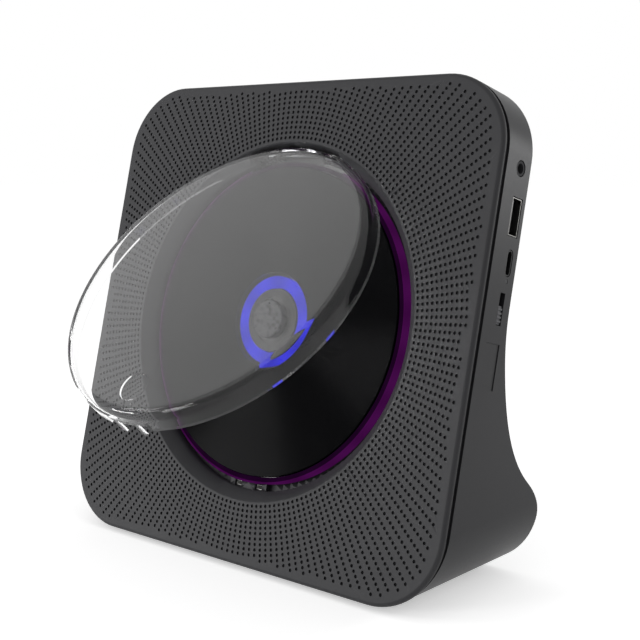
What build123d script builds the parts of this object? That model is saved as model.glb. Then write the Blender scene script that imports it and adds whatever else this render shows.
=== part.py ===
"""Desktop and wall disc player: reclined square face, clear pop-up cover, swept foot.

World frame: millimetres, +Z up, origin on the floor under the middle of the housing's base,
-Y to the front. Most pieces are drawn in the face frame, whose origin is the middle of the
disc on the outline plane: x to the right, y up the slope, z ("height") out of the face.
Heights behind the outline plane are negative. A value whose name ends in DOWN is measured
down the slope from the top edge of the face, one that ends in IN from the side wall.
"""
import math
import os

from build123d import *

os.makedirs("parts", exist_ok=True)

# Housing
BODY_WIDTH = 190.0
FACE_HEIGHT = 187.0
CORNER_RADIUS = 27.5
RECLINE = 14.0
FOOT_LIFT = 1.9
BASE_DEPTH = 67.0
SHELL_DEPTH = 18.4
SHELL_WALL = 2.2
FACE_FRONT = 0.8
FACE_WALL = 2.2
FACE_EDGE_RADIUS = 1.5
SEAM_TOP = -1.0
SEAM_BOTTOM = -3.0
SEAM_INSET = 0.8
TONGUE_END = -6.0
TONGUE_WALL = 1.6
TONGUE_CLEARANCE = 0.2

# Swept back: heights above the base where the curve changes, and how far back it reaches
SWEEP_TOP = 100.0
WAIST = 75.0
WAIST_DEPTH = 42.2
SWEEP_MIDDLE = 36.5
SWEEP_MIDDLE_DEPTH = 58.0
SWEEP_MIDDLE_ANGLE = 48.0
TOE_TOP = 20.0

# Disc, light ring and dish, with their gaps from the disc outwards
DISC_RADIUS = 60.0
DISC_BORE = 7.5
DISC_FRONT = -2.6
DISC_THICKNESS = 1.2
DISC_EDGE = 0.15
STACK_RIDGE_RADIUS = 17.5
STACK_RIDGE_WIDTH = 0.5
STACK_RIDGE = 0.2
LIGHT_GAP = 0.4
LIGHT_WIDTH = 1.5
LIGHT_TOP = -3.3
LED_STRIP = 0.6
LIGHT_FIT = 0.1
COLLAR_WIDTH = 0.75
COLLAR_TOP = -3.5
RIM_GROOVE_FLOOR = -7.4
COVER_INSIDE_GAP = 1.55
COVER_OUTSIDE_GAP = 1.2
DISH_LIP = -3.2
DISH_SLOPE_WIDTH = 4.1
DISH_EDGE_RADIUS = 0.8

# Tray, middle light and turntable
TRAY_SEAT = -9.0
TRAY_TOP = -6.4
TRAY_FLOOR = 2.0
TRAY_RIM_GAP = 0.2
TRAY_RIM_WALL = 2.0
TRAY_FLANGE = 2.0
TRAY_FLANGE_OVERLAP = 0.5
TRAY_HOLE = 5.0
TRAY_EAR_RADIUS = 3.4
TRAY_EAR_REACH = 8.5
TRAY_NOTCH_GAP = 0.2
POCKET_NOTCH_GAP = 0.6
LATCH_NOTCH_GAP = 0.4
TRAY_POST_ANGLE = 30.0
HUB_LIGHT_INNER = 12.7
HUB_LIGHT_OUTER = 17.2
HUB_LIGHT_TOP = -4.3
TURNTABLE_RADIUS = 12.3
TURNTABLE_THICKNESS = 1.4
TURNTABLE_EDGE = 0.4
PAD_THICKNESS = 0.5
PAD_INNER = 9.0
PAD_INSET = 0.1
SLEEVE_RADIUS = 4.0
SLEEVE_END = -9.8
HUB_CLEARANCE = 0.05
HUB_TOP = -0.8
HUB_EDGE_RADIUS = 0.7
BALL_RADIUS = 1.0
BALL_CLEARANCE = 0.03
BALL_CIRCLE = 6.9
BALL_HEIGHT = -1.75
BALL_COUNT = 3
SHAFT_RADIUS = 1.0
BEARING_CLEARANCE = 0.05
SHAFT_END_GAP = 1.0

# Chassis, dampers and motors
PLATE_TOP = -11.2
PLATE_THICKNESS = 1.0
PLATE_BEYOND_DISC = 9.0
PLATE_RIGHT = 23.0
PLATE_HALF = 30.0
PLATE_CORNER = 6.0
WINDOW_BEYOND_DISC = 6.0
WINDOW_RIGHT = -6.5
WINDOW_HALF = 19.6
MOTOR_RADIUS = 11.5
MOTOR_HEIGHT = 3.7
MOTOR_EDGE = 0.8
MOTOR_FLOOR = 0.8
MOTOR_NOSE_RADIUS = 3.0
MOTOR_NOSE = 0.6
MOTOR_SEAT_MARGIN = 1.5
FEED_MOTOR_RADIUS = 7.0
FEED_MOTOR_FLOOR = 1.0
FEED_MOTOR_MARGIN = 2.0
DAMPER_IN_RIM = 14.0
DAMPER_RIGHT = 16.0
DAMPER_Y = 26.0
DAMPER_RADIUS = 4.0
DAMPER_WAIST = 3.0
DAMPER_FLANGE = 0.9
DAMPER_FIT = 0.1
POST_RADIUS = 1.9
DAMPER_SCREW_RADIUS = 0.8
DAMPER_SCREW_LENGTH = 4.0
DAMPER_SCREW_HEAD = 1.2
DAMPER_HEAD_INSET = 0.6
PILOT_END = 0.5

# Pickup and its feed
ROD_Y = 17.0
ROD_HEIGHT = -13.4
ROD_RADIUS = 1.0
ROD_CLEARANCE = 0.05
ROD_SEAT = 0.02
ROD_LUG = 2.4
ROD_LUG_HALF = 2.2
ROD_LUG_BELOW = 1.9
ROD_LUG_OVERHANG = 0.6
LENS_START = -24.0
LENS_MARGIN = 3.0
LENS_RADIUS = 2.6
LENS_RIM = 0.7
LENS_TOP = -5.4
LENS_SAG = 0.5
LENS_DEPTH = 2.0
LENS_PROUD = 0.4
LENS_SLOT_MARGIN = 1.2
SLED_BOTTOM = -15.3
SLED_TOP = -11.7
SLED_OUTSIDE = 4.4
SLED_INSIDE = 14.0
SLED_HALF = 13.5
SLED_CORNER = 1.5
SLED_MOTOR_GAP = 1.8
SLED_ARM_INSET = 1.0
SLED_ROD_COVER = 2.0
HOOK_BACK_GAP = 0.1
ACTUATOR_HALF = 5.5
ACTUATOR_TOP = -8.9
ACTUATOR_INSET = 1.2
ACTUATOR_INSIDE = 7.0
ACTUATOR_EDGE = 0.5
ACTUATOR_GAP = 0.8
RACK_MODULE = 0.6
RACK_PITCH_Y = 21.2
RACK_BACK_Y = 19.8
RACK_TOP = -12.6
RACK_BOTTOM = -14.8
RACK_SPARE = 4.0
RACK_ARM_INSET = 2.0
RACK_ARM_LAP = 1.5
RACK_TOOTH_LAP = 0.03
GEAR_BEYOND_LENS = 6.0
SMALL_TEETH = 12
WHEEL_MODULE = 0.5
WHEEL_TEETH = 36
WHEEL_TOP = -9.2
WHEEL_THICKNESS = 1.2
PINION_TEETH = 10
PINION_ANGLE = 40.0
PINION_OVERLAP = 0.2
MESH_CLEARANCE = 0.12
FOOT_SHARE = 0.29
CROWN_SHARE = 0.11
TIP_SHARE = 0.9
ROOT_SHARE = 1.15
AXLE_RADIUS = 0.75
AXLE_BRACKET = 0.7
AXLE_FLOAT = 0.25
AXLE_STICK_OUT = 0.5
BRACKET_SPAN = (3.5, 1.5)
BRACKET_TAB = 1.2
BRACKET_LAP = 2.0
GEAR_NECK = 1.6
GEAR_NECK_GAP = 0.4
GEAR_LIFT = 0.3

# Cover and its hinge
COVER_FRONT = 1.6
COVER_BASE = -7.0
COVER_WALL = 1.4
COVER_PLATE = 1.8
COVER_EDGE_RADIUS = 4.2
COVER_OPEN = 30.5
HINGE_HEIGHT = -6.4
HINGE_PIN_RADIUS = 1.0
HINGE_CLEARANCE = 0.06
PIN_SEAT = 0.02
PIN_END = 0.6
KNUCKLE_RADIUS = 2.1
KNUCKLE_X = 15.0
KNUCKLE_LENGTH = 4.0
KNUCKLE_ARM = 1.2
KNUCKLE_GAP = 0.2
EAR_GAP = 0.3
EAR_THICKNESS = 2.0
POCKET_HALF = 24.0
POCKET_ROOM = 3.9
POCKET_INSIDE = 6.0
POCKET_HEIGHT = -1.2
BRACKET_TOP = -3.2
BRACKET_WALL = 1.4
BRACKET_GAP = 0.2
BRACKET_LIGHT_GAP = 0.4
BRACKET_POST_X = 33.0
BRACKET_POST_ABOVE = 2.0
HINGE_NOTCH_TOP = -4.0
SPRING_RADIUS = 1.7
SPRING_WIRE = 0.3
SPRING_PITCH = 0.75
SPRING_TURNS_LENGTH = 3.0
SPRING_GAP = 0.5
DIMPLE_IN = 11.8
DIMPLE_RADIUS = 5.8
DIMPLE_TAPER = 1.0
DIMPLE_DEPTH = 0.7
HOOK_X = 5.3
HOOK_WIDTH = 2.2
HOOK_THICKNESS = 0.75
HOOK_INSET = 0.2
HOOK_END = -10.2
HOOK_LAP = 0.5
HOOK_SIDE_GAP = 0.4
HOOK_SLOT_INSET = 0.5
RIM_NOTCH_HALF = 10.0
RIM_NOTCH_TOP = -4.4
NOTCH_REACH = 4.0

# Latch
BRIDGE_HALF = 8.4
BRIDGE_TOP = -5.0
BRIDGE_WALL = 1.2
BRIDGE_ROOT = 1.0
BRIDGE_EDGE = 0.4
BRIDGE_LAP = 0.6
LATCH_SLOT_WIDTH = 3.6
LATCH_SLOT_GAP = 0.15
LATCH_SLOT_DEPTH = 2.1
LATCH_CASE_HALF = 11.0
LATCH_CASE_DEPTH = 8.5
LATCH_CASE_END = -17.0
LATCH_WALL = 1.0
LATCH_FIT = 0.05
LATCH_NOSE_GAP = 0.3
LATCH_NOSE_INSET = 0.2
LATCH_FRONT_WALL = 0.3
LATCH_POST_X = 15.5
LATCH_POST_BELOW = 9.1
CATCH_TOP = -10.5
CATCH_THICKNESS = 2.4
CATCH_GAP = 0.2
CATCH_FRONT_GAP = 0.6
CATCH_EDGE = 0.4
CATCH_ROOF = 1.0
CATCH_SPRING_RADIUS = 2.1
CATCH_SPRING_ROOM = 0.7
CATCH_SPRING_TURNS = 4

# Speakers, each as large as the room between the dish and its corner lets it be
SPEAKER_GAP = 3.5
SPEAKER_FLANGE = 1.2
SPEAKER_LEDGE = 1.1
SPEAKER_COLLAR_GAP = 0.3
SPEAKER_COLLAR_WALL = 1.3
SPEAKER_COLLAR = 1.6
BASKET_DEPTH = 10.0
BASKET_WALL = 1.0
BASKET_TAPER = 7.5
WINDOW_COUNT = 4
WINDOW_WIDTH = 9.0
WINDOW_EDGE = 1.2
WINDOW_SILL = 0.5
LEDGE_WIDTH = 1.4
SURROUND_MARGIN = 2.2
SURROUND_WIDTH = 3.1
SURROUND_WALL = 0.5
SURROUND_FIT = 0.1
ROLL_INSET = 0.3
ROLL_HALF = 0.55
ROLL_RISE = 0.5
CONE_OVERLAP = 0.4
CONE_LIP = 0.6
CONE_DEPTH = 5.5
CONE_WALL = 0.5
DUST_CAP_RISE = 0.6
COIL_RADIUS = 4.8
COIL_WALL = 0.4
COIL_ROOM = 1.2
MAGNET_INSET = 9.0
MAGNET_HEIGHT = 5.0
MAGNET_EDGE = 0.6
POLE_GAP = 1.0
POLE_HEIGHT = 2.5

# Side panel: places down the face and depths behind the outline plane
JACK_DOWN = 31.2
JACK_DEPTH = 12.1
JACK_BORE = 1.8
JACK_LENGTH = 14.0
JACK_NOSE = 2.6
JACK_BODY = (12.5, 6.2)
USB_DOWN = 48.0
USB_DEPTH = 13.2
USB_OPENING = (12.5, 5.12)
SOCKET_WALL = 0.3
USB_LENGTH = 14.0
USB_LEG = 1.6
USB_LEG_INSET = (2.0, 3.0)
TONGUE_GAP = 0.1
TONGUE_ROOT = 3.0
TONGUE_SETBACK = 1.2
TONGUE_SIDE = 0.6
TONGUE_BAND = (0.4, 2.2)
POWER_DOWN = 63.9
POWER_DEPTH = 13.7
POWER_OPENING = (8.34, 2.56)
POWER_LENGTH = 8.0
POWER_BACK = 1.0
POWER_PEDESTAL = (7.2, 1.0)
POWER_TONGUE = (6.4, 0.7)
POWER_TONGUE_ENDS = (0.8, 1.0)
LED_DOWN = 70.2
LED_DEPTH = 13.8
LED_RADIUS = 0.75
LED_BODY = (3.0, 2.6)
LED_BODY_BACK = 8.0
LED_SETBACK = 0.1
SWITCH_DOWN = 80.0
SWITCH_DEPTH = 12.7
SWITCH_WINDOW = (11.3, 3.1)
SWITCH_TRAVEL = 4.2
SWITCH_WALL = 1.0
SWITCH_BODY_DEPTH = 8.0
SWITCH_FLOOR = 2.0
SWITCH_KNOB = (6.4, 2.5)
KNOB_SETBACK = 0.5
KNOB_FOOT_GAP = 0.3
KNOB_RIBS = 4
KNOB_RIB_PITCH = 1.4
KNOB_RIB = (0.7, 0.35)
LABEL_DOWN = (92.0, 108.0)
LABEL_DEPTH = (7.5, 15.5)
LABEL_RECESS = 0.3
PORT_GAP = 0.3
MOUTH_SETBACK = 0.2
BOARD = 1.2
PORT_BOARD_TOP = -7.8
PORT_BOARD_GAP = 2.9
PORT_BOARD_IN = 3.0
PORT_BOARD_DOWN = (26.7, 93.5)
PORT_POST_INSET = 2.8
PORT_POST_DOWN = (90.1, 37.9)

# Buttons along the top
BUTTON_NAMES = ("power_button", "previous_button", "play_button", "next_button", "source_button")
BUTTON_PITCH = 20.0
BUTTON_DEPTH = 10.7
BUTTON_SIZE = (12.0, 6.4)
BUTTON_EDGE = 0.5
BUTTON_PROUD = 0.8
BUTTON_TRAVEL = 0.6
BUTTON_FLANGE = 0.9
BUTTON_FLANGE_MARGIN = 1.0
BUTTON_CLEARANCE = 0.25
BUTTON_FLOAT = 0.3
PLUNGER_RADIUS = 1.2
PLUNGER_GAP = 0.1
SWITCH_HEIGHT = 2.7
SWITCH_BASE = (6.0, 2.0)
SWITCH_STEM_RADIUS = 1.5
BUTTON_BOARD_DOWN = 8.3
BUTTON_BOARD_HALF = 53.0
BUTTON_BOARD_REACH = (-4.6, 4.2)
BUTTON_POST_X = 49.5

# Main board, in the foot
MAIN_BOARD_X = 44.0
MAIN_BOARD_Y = (-9.0, 26.0)
MAIN_BOARD_Z = 8.0
MAIN_BOARD = 1.6
MAIN_POST_INSET = 4.0
CHIP_HEIGHT = 1.6
CHIPS = ((0.0, 4.0, 5.0), (17.0, 2.0, 3.5), (-20.0, 8.0, 6.0), (14.0, 18.0, 2.5))
CAPACITOR_RADIUS = 3.2
CAPACITOR_HEIGHT = 9.0
CAPACITOR_EDGE = 0.6
CAPACITORS = ((-8.0, 19.0), (0.0, 19.0), (30.0, 19.0))
HEATSINK_X = (-29.0, -11.0)
HEATSINK_Y = (0.0, 16.0)
HEATSINK_BASE = 1.8
HEATSINK_HEIGHT = 8.0
HEATSINK_FINS = 6
HEATSINK_FIN = 1.2

# Fasteners, feet and wall hooks
SCREW_POST_RADIUS = 2.5
SCREW_RADIUS = 1.0
SCREW_HOLE = 1.2
SCREW_HEAD_RADIUS = 1.9
SCREW_HEAD = 1.3
SCREW_BITE = 5.0
SCREW_SPARE = 0.5
MAIN_SCREW_BITE = 3.7
PILOT_GAP = 0.05
CASE_SCREW_IN = 15.0
CASE_SCREW_DOWN = 19.5
CASE_SCREW_UP = 57.5
CASE_POST_RADIUS = 3.4
CASE_POST_END = -12.0
CASE_SCREW_RADIUS = 1.5
CASE_SCREW_LENGTH = 9.0
CASE_SCREW_GAP = 0.2
CASE_HEAD_RADIUS = 2.8
CASE_HEAD = 2.0
CASE_WELL_RADIUS = 3.2
CASE_WELL_WALL = 1.2
CASE_WELL_FLOOR = 1.6
FOOT_RADIUS = 6.0
FOOT_SEAT = 0.8
FOOT_FIT = 0.05
FOOT_EDGE = 0.5
FOOT_IN = 35.0
FOOT_FROM_FRONT = 11.0
FOOT_FROM_BACK = 10.5
KEYHOLE_X = 50.0
KEYHOLE_DOWN = 37.0
KEYHOLE_HEAD = 4.2
KEYHOLE_NECK = 2.0
KEYHOLE_RUN = 8.0

# Lengths that only let one solid run into another, or a cutter past a face
WELD = 0.2
PAST = 1.0

# Face frame
TOP_EDGE = FACE_HEIGHT / 2
SIDE_WALL = BODY_WIDTH / 2
SINE = math.sin(math.radians(RECLINE))
COSINE = math.cos(math.radians(RECLINE))
FACE = Plane(
    origin=(0, -BASE_DEPTH / 2 + TOP_EDGE * SINE, FOOT_LIFT + TOP_EDGE * COSINE),
    x_dir=(1, 0, 0),
    z_dir=(0, -COSINE, SINE),
)

# Radii worked out from the disc outwards
LIGHT_INNER = DISC_RADIUS + LIGHT_GAP
LIGHT_OUTER = LIGHT_INNER + LIGHT_WIDTH
COLLAR_INNER = LIGHT_OUTER + LIGHT_FIT
COLLAR_RADIUS = COLLAR_INNER + COLLAR_WIDTH
COVER_RADIUS = COLLAR_RADIUS + COVER_INSIDE_GAP
DISH_LIP_RADIUS = COVER_RADIUS + COVER_OUTSIDE_GAP
DISH_MOUTH_RADIUS = DISH_LIP_RADIUS + DISH_SLOPE_WIDTH
TRAY_RIM = DISC_RADIUS + TRAY_RIM_GAP
TRAY_FLANGE_RADIUS = DISH_LIP_RADIUS + TRAY_FLANGE_OVERLAP
TRAY_POST_CIRCLE = DISH_LIP_RADIUS + TRAY_EAR_REACH
LATCH_SLOT_INNER = COLLAR_RADIUS + LATCH_SLOT_GAP
LATCH_SLOT_OUTER = LATCH_SLOT_INNER + LATCH_SLOT_DEPTH

# Heights worked out
PLATE_BACK = FACE_FRONT - FACE_WALL
TRAY_BACK = TRAY_SEAT - TRAY_FLANGE
TRAY_UNDERSIDE = TRAY_TOP - TRAY_FLOOR
DISC_BACK = DISC_FRONT - DISC_THICKNESS
PLATE_BOTTOM = PLATE_TOP - PLATE_THICKNESS
DAMPER_END = PLATE_BOTTOM - DAMPER_FLANGE
PORT_SEAT = PORT_BOARD_TOP - BOARD
MAIN_TOP = MAIN_BOARD_Z + MAIN_BOARD

# Places worked out
TONGUE_INSET = SHELL_WALL + TONGUE_CLEARANCE + TONGUE_WALL
HINGE_Y = DISH_LIP_RADIUS
HINGE_LINE = Axis((0, HINGE_Y, HINGE_HEIGHT), (1, 0, 0))
POCKET_TOP_Y = HINGE_Y + POCKET_ROOM
PLATE_LEFT = -DISC_RADIUS - PLATE_BEYOND_DISC
WINDOW_LEFT = -DISC_RADIUS - WINDOW_BEYOND_DISC
LENS_TRAVEL = DISC_RADIUS - LENS_MARGIN + LENS_START
LENS_PORT = LENS_RADIUS - LENS_RIM
GEAR_X = LENS_START - GEAR_BEYOND_LENS
SMALL_RADIUS = RACK_MODULE * SMALL_TEETH / 2
GEAR_Y = RACK_PITCH_Y + SMALL_RADIUS
WHEEL_RADIUS = WHEEL_MODULE * WHEEL_TEETH / 2
PINION_RADIUS = WHEEL_MODULE * PINION_TEETH / 2
PINION_REACH = WHEEL_RADIUS + PINION_RADIUS
PINION_AT = (
    GEAR_X + PINION_REACH * math.cos(math.radians(PINION_ANGLE)),
    GEAR_Y + PINION_REACH * math.sin(math.radians(PINION_ANGLE)),
)
TRAY_POSTS = [
    (TRAY_POST_CIRCLE * math.cos(math.radians(angle)), TRAY_POST_CIRCLE * math.sin(math.radians(angle)))
    for angle in (TRAY_POST_ANGLE, 180 - TRAY_POST_ANGLE, 180 + TRAY_POST_ANGLE, -TRAY_POST_ANGLE)
]
BRACKET_POSTS = [(side * BRACKET_POST_X, HINGE_Y + BRACKET_POST_ABOVE) for side in (-1, 1)]
LATCH_POSTS = [(side * LATCH_POST_X, -LATCH_SLOT_INNER - LATCH_POST_BELOW) for side in (-1, 1)]
DAMPERS = [(x, side * DAMPER_Y) for x in (DAMPER_IN_RIM - DISC_RADIUS, DAMPER_RIGHT) for side in (-1, 1)]
EAR_CENTRES = [side * (KNUCKLE_X + step * (KNUCKLE_LENGTH / 2 + EAR_GAP + EAR_THICKNESS / 2))
               for side in (-1, 1) for step in (-1, 1)]
PIN_HALF = KNUCKLE_X + KNUCKLE_LENGTH / 2 + EAR_GAP + EAR_THICKNESS
DISH_OUTSIDE = DISH_MOUTH_RADIUS + FACE_WALL
CORNER_CENTRE = (SIDE_WALL - CORNER_RADIUS, CORNER_RADIUS - TOP_EDGE)
CORNER_REACH = math.hypot(*CORNER_CENTRE)
SPEAKER_ROOM = (CORNER_REACH + CORNER_RADIUS - TONGUE_INSET - DISH_OUTSIDE) / 2
SPEAKER_RADIUS = SPEAKER_ROOM - SPEAKER_GAP
SPEAKER_X, SPEAKER_Y = (place * (DISH_OUTSIDE + SPEAKER_ROOM) / CORNER_REACH for place in CORNER_CENTRE)
SURROUND_OUTER = SPEAKER_RADIUS - SURROUND_MARGIN
SURROUND_INNER = SURROUND_OUTER - SURROUND_WIDTH
CONE_RADIUS = SURROUND_INNER + CONE_OVERLAP
BASKET_BACK_RADIUS = SPEAKER_RADIUS - BASKET_TAPER
JACK_Y = TOP_EDGE - JACK_DOWN
USB_Y = TOP_EDGE - USB_DOWN
POWER_Y = TOP_EDGE - POWER_DOWN
LED_Y = TOP_EDGE - LED_DOWN
SWITCH_Y = TOP_EDGE - SWITCH_DOWN
LABEL_Y = [TOP_EDGE - down for down in LABEL_DOWN]
MOUTH = SIDE_WALL - MOUTH_SETBACK
INSIDE = SIDE_WALL - SHELL_WALL - PORT_GAP
PORT_BOARD_X = (DISH_LIP_RADIUS + FACE_WALL + PORT_BOARD_GAP, SIDE_WALL - PORT_BOARD_IN)
PORT_BOARD_Y = [TOP_EDGE - down for down in PORT_BOARD_DOWN]
PORT_POSTS = [(PORT_BOARD_X[0] + PORT_POST_INSET, TOP_EDGE - down) for down in PORT_POST_DOWN]
BUTTON_X = [(index - (len(BUTTON_NAMES) - 1) / 2) * BUTTON_PITCH for index in range(len(BUTTON_NAMES))]
BUTTON_BOARD_Y = TOP_EDGE - BUTTON_BOARD_DOWN
CASE_SCREWS = [(side * (SIDE_WALL - CASE_SCREW_IN), y) for side in (-1, 1)
               for y in (TOP_EDGE - CASE_SCREW_DOWN, CASE_SCREW_UP - TOP_EDGE)]
MAIN_POSTS = [(side * (MAIN_BOARD_X - MAIN_POST_INSET), y) for side in (-1, 1)
              for y in (MAIN_BOARD_Y[0] + MAIN_POST_INSET, MAIN_BOARD_Y[1] - MAIN_POST_INSET)]
FEET = [(side * (SIDE_WALL - FOOT_IN), y) for side in (-1, 1)
        for y in (FOOT_FROM_FRONT - BASE_DEPTH / 2, BASE_DEPTH / 2 - FOOT_FROM_BACK)]


# Drawing helpers, all in whichever frame the caller works in
def cylinder(radius, low, high, at=(0.0, 0.0)):
    """Upright cylinder between two heights."""
    return Pos(at[0], at[1], (low + high) / 2) * Cylinder(radius, high - low)


def tube(outer, inner, low, high, at=(0.0, 0.0)):
    """Upright tube; the hole runs a little past both ends."""
    return cylinder(outer, low, high, at) - cylinder(inner, low - PAST, high + PAST, at)


def block(x, y, z):
    """Box given by its span along each axis."""
    size = [max(span) - min(span) for span in (x, y, z)]
    middle = [(max(span) + min(span)) / 2 for span in (x, y, z)]
    return Pos(*middle) * Box(*size)


def along_x(radius, x, y, z):
    """Cylinder lying along X over a span."""
    return Pos((x[0] + x[1]) / 2, y, z) * Rot(0, 90, 0) * Cylinder(radius, abs(x[1] - x[0]))


def along_y(radius, y, x):
    """Cylinder lying up the slope at the buttons' depth."""
    return Pos(x, sum(y) / 2, -BUTTON_DEPTH) * Rot(90, 0, 0) * Cylinder(radius, y[1] - y[0])


def turned(points):
    """Solid of revolution about Z from (radius, height) corners."""
    return revolve(make_face(Plane.XZ * Polyline(*points, close=True)), Axis.Z)


def rounded_plate(inset, low, high):
    """Face outline, moved in by an inset, between two heights."""
    radius = CORNER_RADIUS - inset
    outline = RectangleRounded(BODY_WIDTH - 2 * inset, FACE_HEIGHT - 2 * inset, radius)
    return Pos(0, 0, low) * extrude(outline, high - low)


def side_slot(size, x, y, depth):
    """Round-ended bar pointing along X, its long way up the slope."""
    long, short = size
    straight = (long - short) / 2
    ends = [along_x(short / 2, x, y + side * straight, -depth) for side in (-1, 1)]
    return block(x, around(y, 2 * straight), around(-depth, short)) + ends[0] + ends[1]


def around(middle, length):
    """Span of a length about its middle."""
    return middle - length / 2, middle + length / 2


def gear(module, teeth, low, high, at, phase=0.0):
    """Spur gear with trapezoid teeth; phase turns it, in degrees."""
    pitch_radius = module * teeth / 2
    tip, root = pitch_radius + TIP_SHARE * module, pitch_radius - ROOT_SHARE * module
    pitch_angle = 360 / teeth
    corners = ((-FOOT_SHARE, root), (-CROWN_SHARE, tip), (CROWN_SHARE, tip), (FOOT_SHARE, root))
    points = []
    for tooth in range(teeth):
        middle = phase + tooth * pitch_angle
        for share, radius in corners:
            angle = math.radians(middle + share * pitch_angle)
            points.append((at[0] + radius * math.cos(angle), at[1] + radius * math.sin(angle)))
    return Pos(0, 0, low) * extrude(make_face(Polyline(*points, close=True)), high - low)


def pan_screw(shank_radius, length, head_radius, head, at, seat):
    """Screw whose head sits against a seat from below and whose shank points up."""
    return cylinder(shank_radius, seat, seat + length, at) + cylinder(head_radius, seat - head, seat, at)


def small_post(at, low):
    """Moulded screw post up to the face, with the pilot hole in its low end."""
    post = cylinder(SCREW_POST_RADIUS, low, PLATE_BACK + WELD, at)
    return post, cylinder(SCREW_RADIUS + PILOT_GAP, low - PAST, low + SCREW_BITE, at)


# Housing
def front_panel():
    """Moulded face: plate with rolled edge, seam step, tongue, dish and screw posts."""
    panel = face_plate() + dish_wall()
    pilots = []
    deep_posts = [(at, TRAY_SEAT) for at in TRAY_POSTS + BRACKET_POSTS + LATCH_POSTS]
    for at, low in deep_posts + [(at, PORT_BOARD_TOP) for at in PORT_POSTS]:
        post, pilot = small_post(at, low)
        panel += post
        pilots.append(pilot)
    for at in CASE_SCREWS:
        panel += cylinder(CASE_POST_RADIUS, CASE_POST_END, PLATE_BACK + WELD, at)
        pilots.append(cylinder(CASE_SCREW_RADIUS + PILOT_GAP, CASE_POST_END - PAST,
                               CASE_POST_END + CASE_SCREW_LENGTH, at))
    collar = SPEAKER_RADIUS + SPEAKER_COLLAR_GAP
    for side in (-1, 1):
        panel += tube(collar + SPEAKER_COLLAR_WALL, collar, PLATE_BACK - SPEAKER_COLLAR, PLATE_BACK + WELD,
                      (side * SPEAKER_X, SPEAKER_Y))
    for pilot in pilots:
        panel -= pilot
    panel -= dish_space()
    panel -= block((-POCKET_HALF, POCKET_HALF), (COLLAR_INNER - POCKET_INSIDE, POCKET_TOP_Y),
                   (TRAY_SEAT - PAST, POCKET_HEIGHT))
    panel = with_latch_bridge(panel)
    mouth = [edge for edge in panel.edges().filter_by(GeomType.CIRCLE)
             if math.isclose(edge.radius, DISH_MOUTH_RADIUS, abs_tol=0.01)
             and math.isclose(edge.center().Z, FACE_FRONT, abs_tol=0.01)]
    return fillet(mouth, DISH_EDGE_RADIUS)


def face_plate():
    """Hollowed plate with its rolled edge, seam step and the tongue that enters the shell."""
    plate = rounded_plate(0, SEAM_TOP, FACE_FRONT)
    plate = fillet(plate.edges().group_by(Axis.Z)[-1], FACE_EDGE_RADIUS)
    plate += rounded_plate(SEAM_INSET, SEAM_BOTTOM, SEAM_TOP)
    tongue = rounded_plate(SHELL_WALL + TONGUE_CLEARANCE, TONGUE_END, SEAM_BOTTOM)
    low_corners = CORNER_RADIUS - TOP_EDGE
    tongue -= block((-SIDE_WALL, SIDE_WALL), (-FACE_HEIGHT, low_corners), (TONGUE_END - PAST, SEAM_BOTTOM))
    return plate + tongue - rounded_plate(TONGUE_INSET, TONGUE_END - PAST, PLATE_BACK)


def dish_wall():
    """Solid ring that the dish and its collar are cut from."""
    wall = FACE_WALL
    return turned([
        (COLLAR_INNER, TRAY_SEAT), (DISH_LIP_RADIUS + wall, TRAY_SEAT),
        (DISH_LIP_RADIUS + wall, DISH_LIP - wall / 4), (DISH_MOUTH_RADIUS + wall, PLATE_BACK),
        (DISH_MOUTH_RADIUS + wall, FACE_FRONT / 2), (COLLAR_INNER, FACE_FRONT / 2),
    ])


def dish_space():
    """Cutter for the dish: sloping mouth, groove for the cover's rim, and the hole inside the collar."""
    return turned([
        (0, TRAY_SEAT - PAST), (COLLAR_INNER, TRAY_SEAT - PAST), (COLLAR_INNER, COLLAR_TOP),
        (COLLAR_RADIUS, COLLAR_TOP), (COLLAR_RADIUS, RIM_GROOVE_FLOOR),
        (DISH_LIP_RADIUS, RIM_GROOVE_FLOOR), (DISH_LIP_RADIUS, DISH_LIP),
        (DISH_MOUTH_RADIUS, FACE_FRONT), (DISH_MOUTH_RADIUS, FACE_FRONT + PAST), (0, FACE_FRONT + PAST),
    ])


def with_latch_bridge(panel):
    """Panel with the latch's opening cut at the foot of the dish and bridged by a slotted plate."""
    rim_x = (-BRIDGE_HALF, BRIDGE_HALF)
    panel -= block(rim_x, (-DISH_LIP_RADIUS + BRIDGE_EDGE, -COLLAR_INNER + NOTCH_REACH),
                   (TRAY_SEAT - PAST, RIM_GROOVE_FLOOR + PAST))
    height = (BRIDGE_TOP - BRIDGE_WALL, BRIDGE_TOP)
    bridge = block((rim_x[0] - BRIDGE_ROOT, rim_x[1] + BRIDGE_ROOT),
                   (-DISH_LIP_RADIUS - BRIDGE_LAP, -COLLAR_RADIUS + PAST), height)
    panel += bridge - cylinder(COLLAR_INNER, TRAY_SEAT, FACE_FRONT)
    return panel - latch_slots(LATCH_SLOT_WIDTH, (height[0] - PAST, height[1] + PAST))


def latch_slots(width, height):
    """Pair of upright prisms through which the cover's hooks pass."""
    slots = [block(around(side * HOOK_X, width), (-LATCH_SLOT_OUTER, -LATCH_SLOT_INNER), height)
             for side in (-1, 1)]
    return slots[0] + slots[1]


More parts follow.
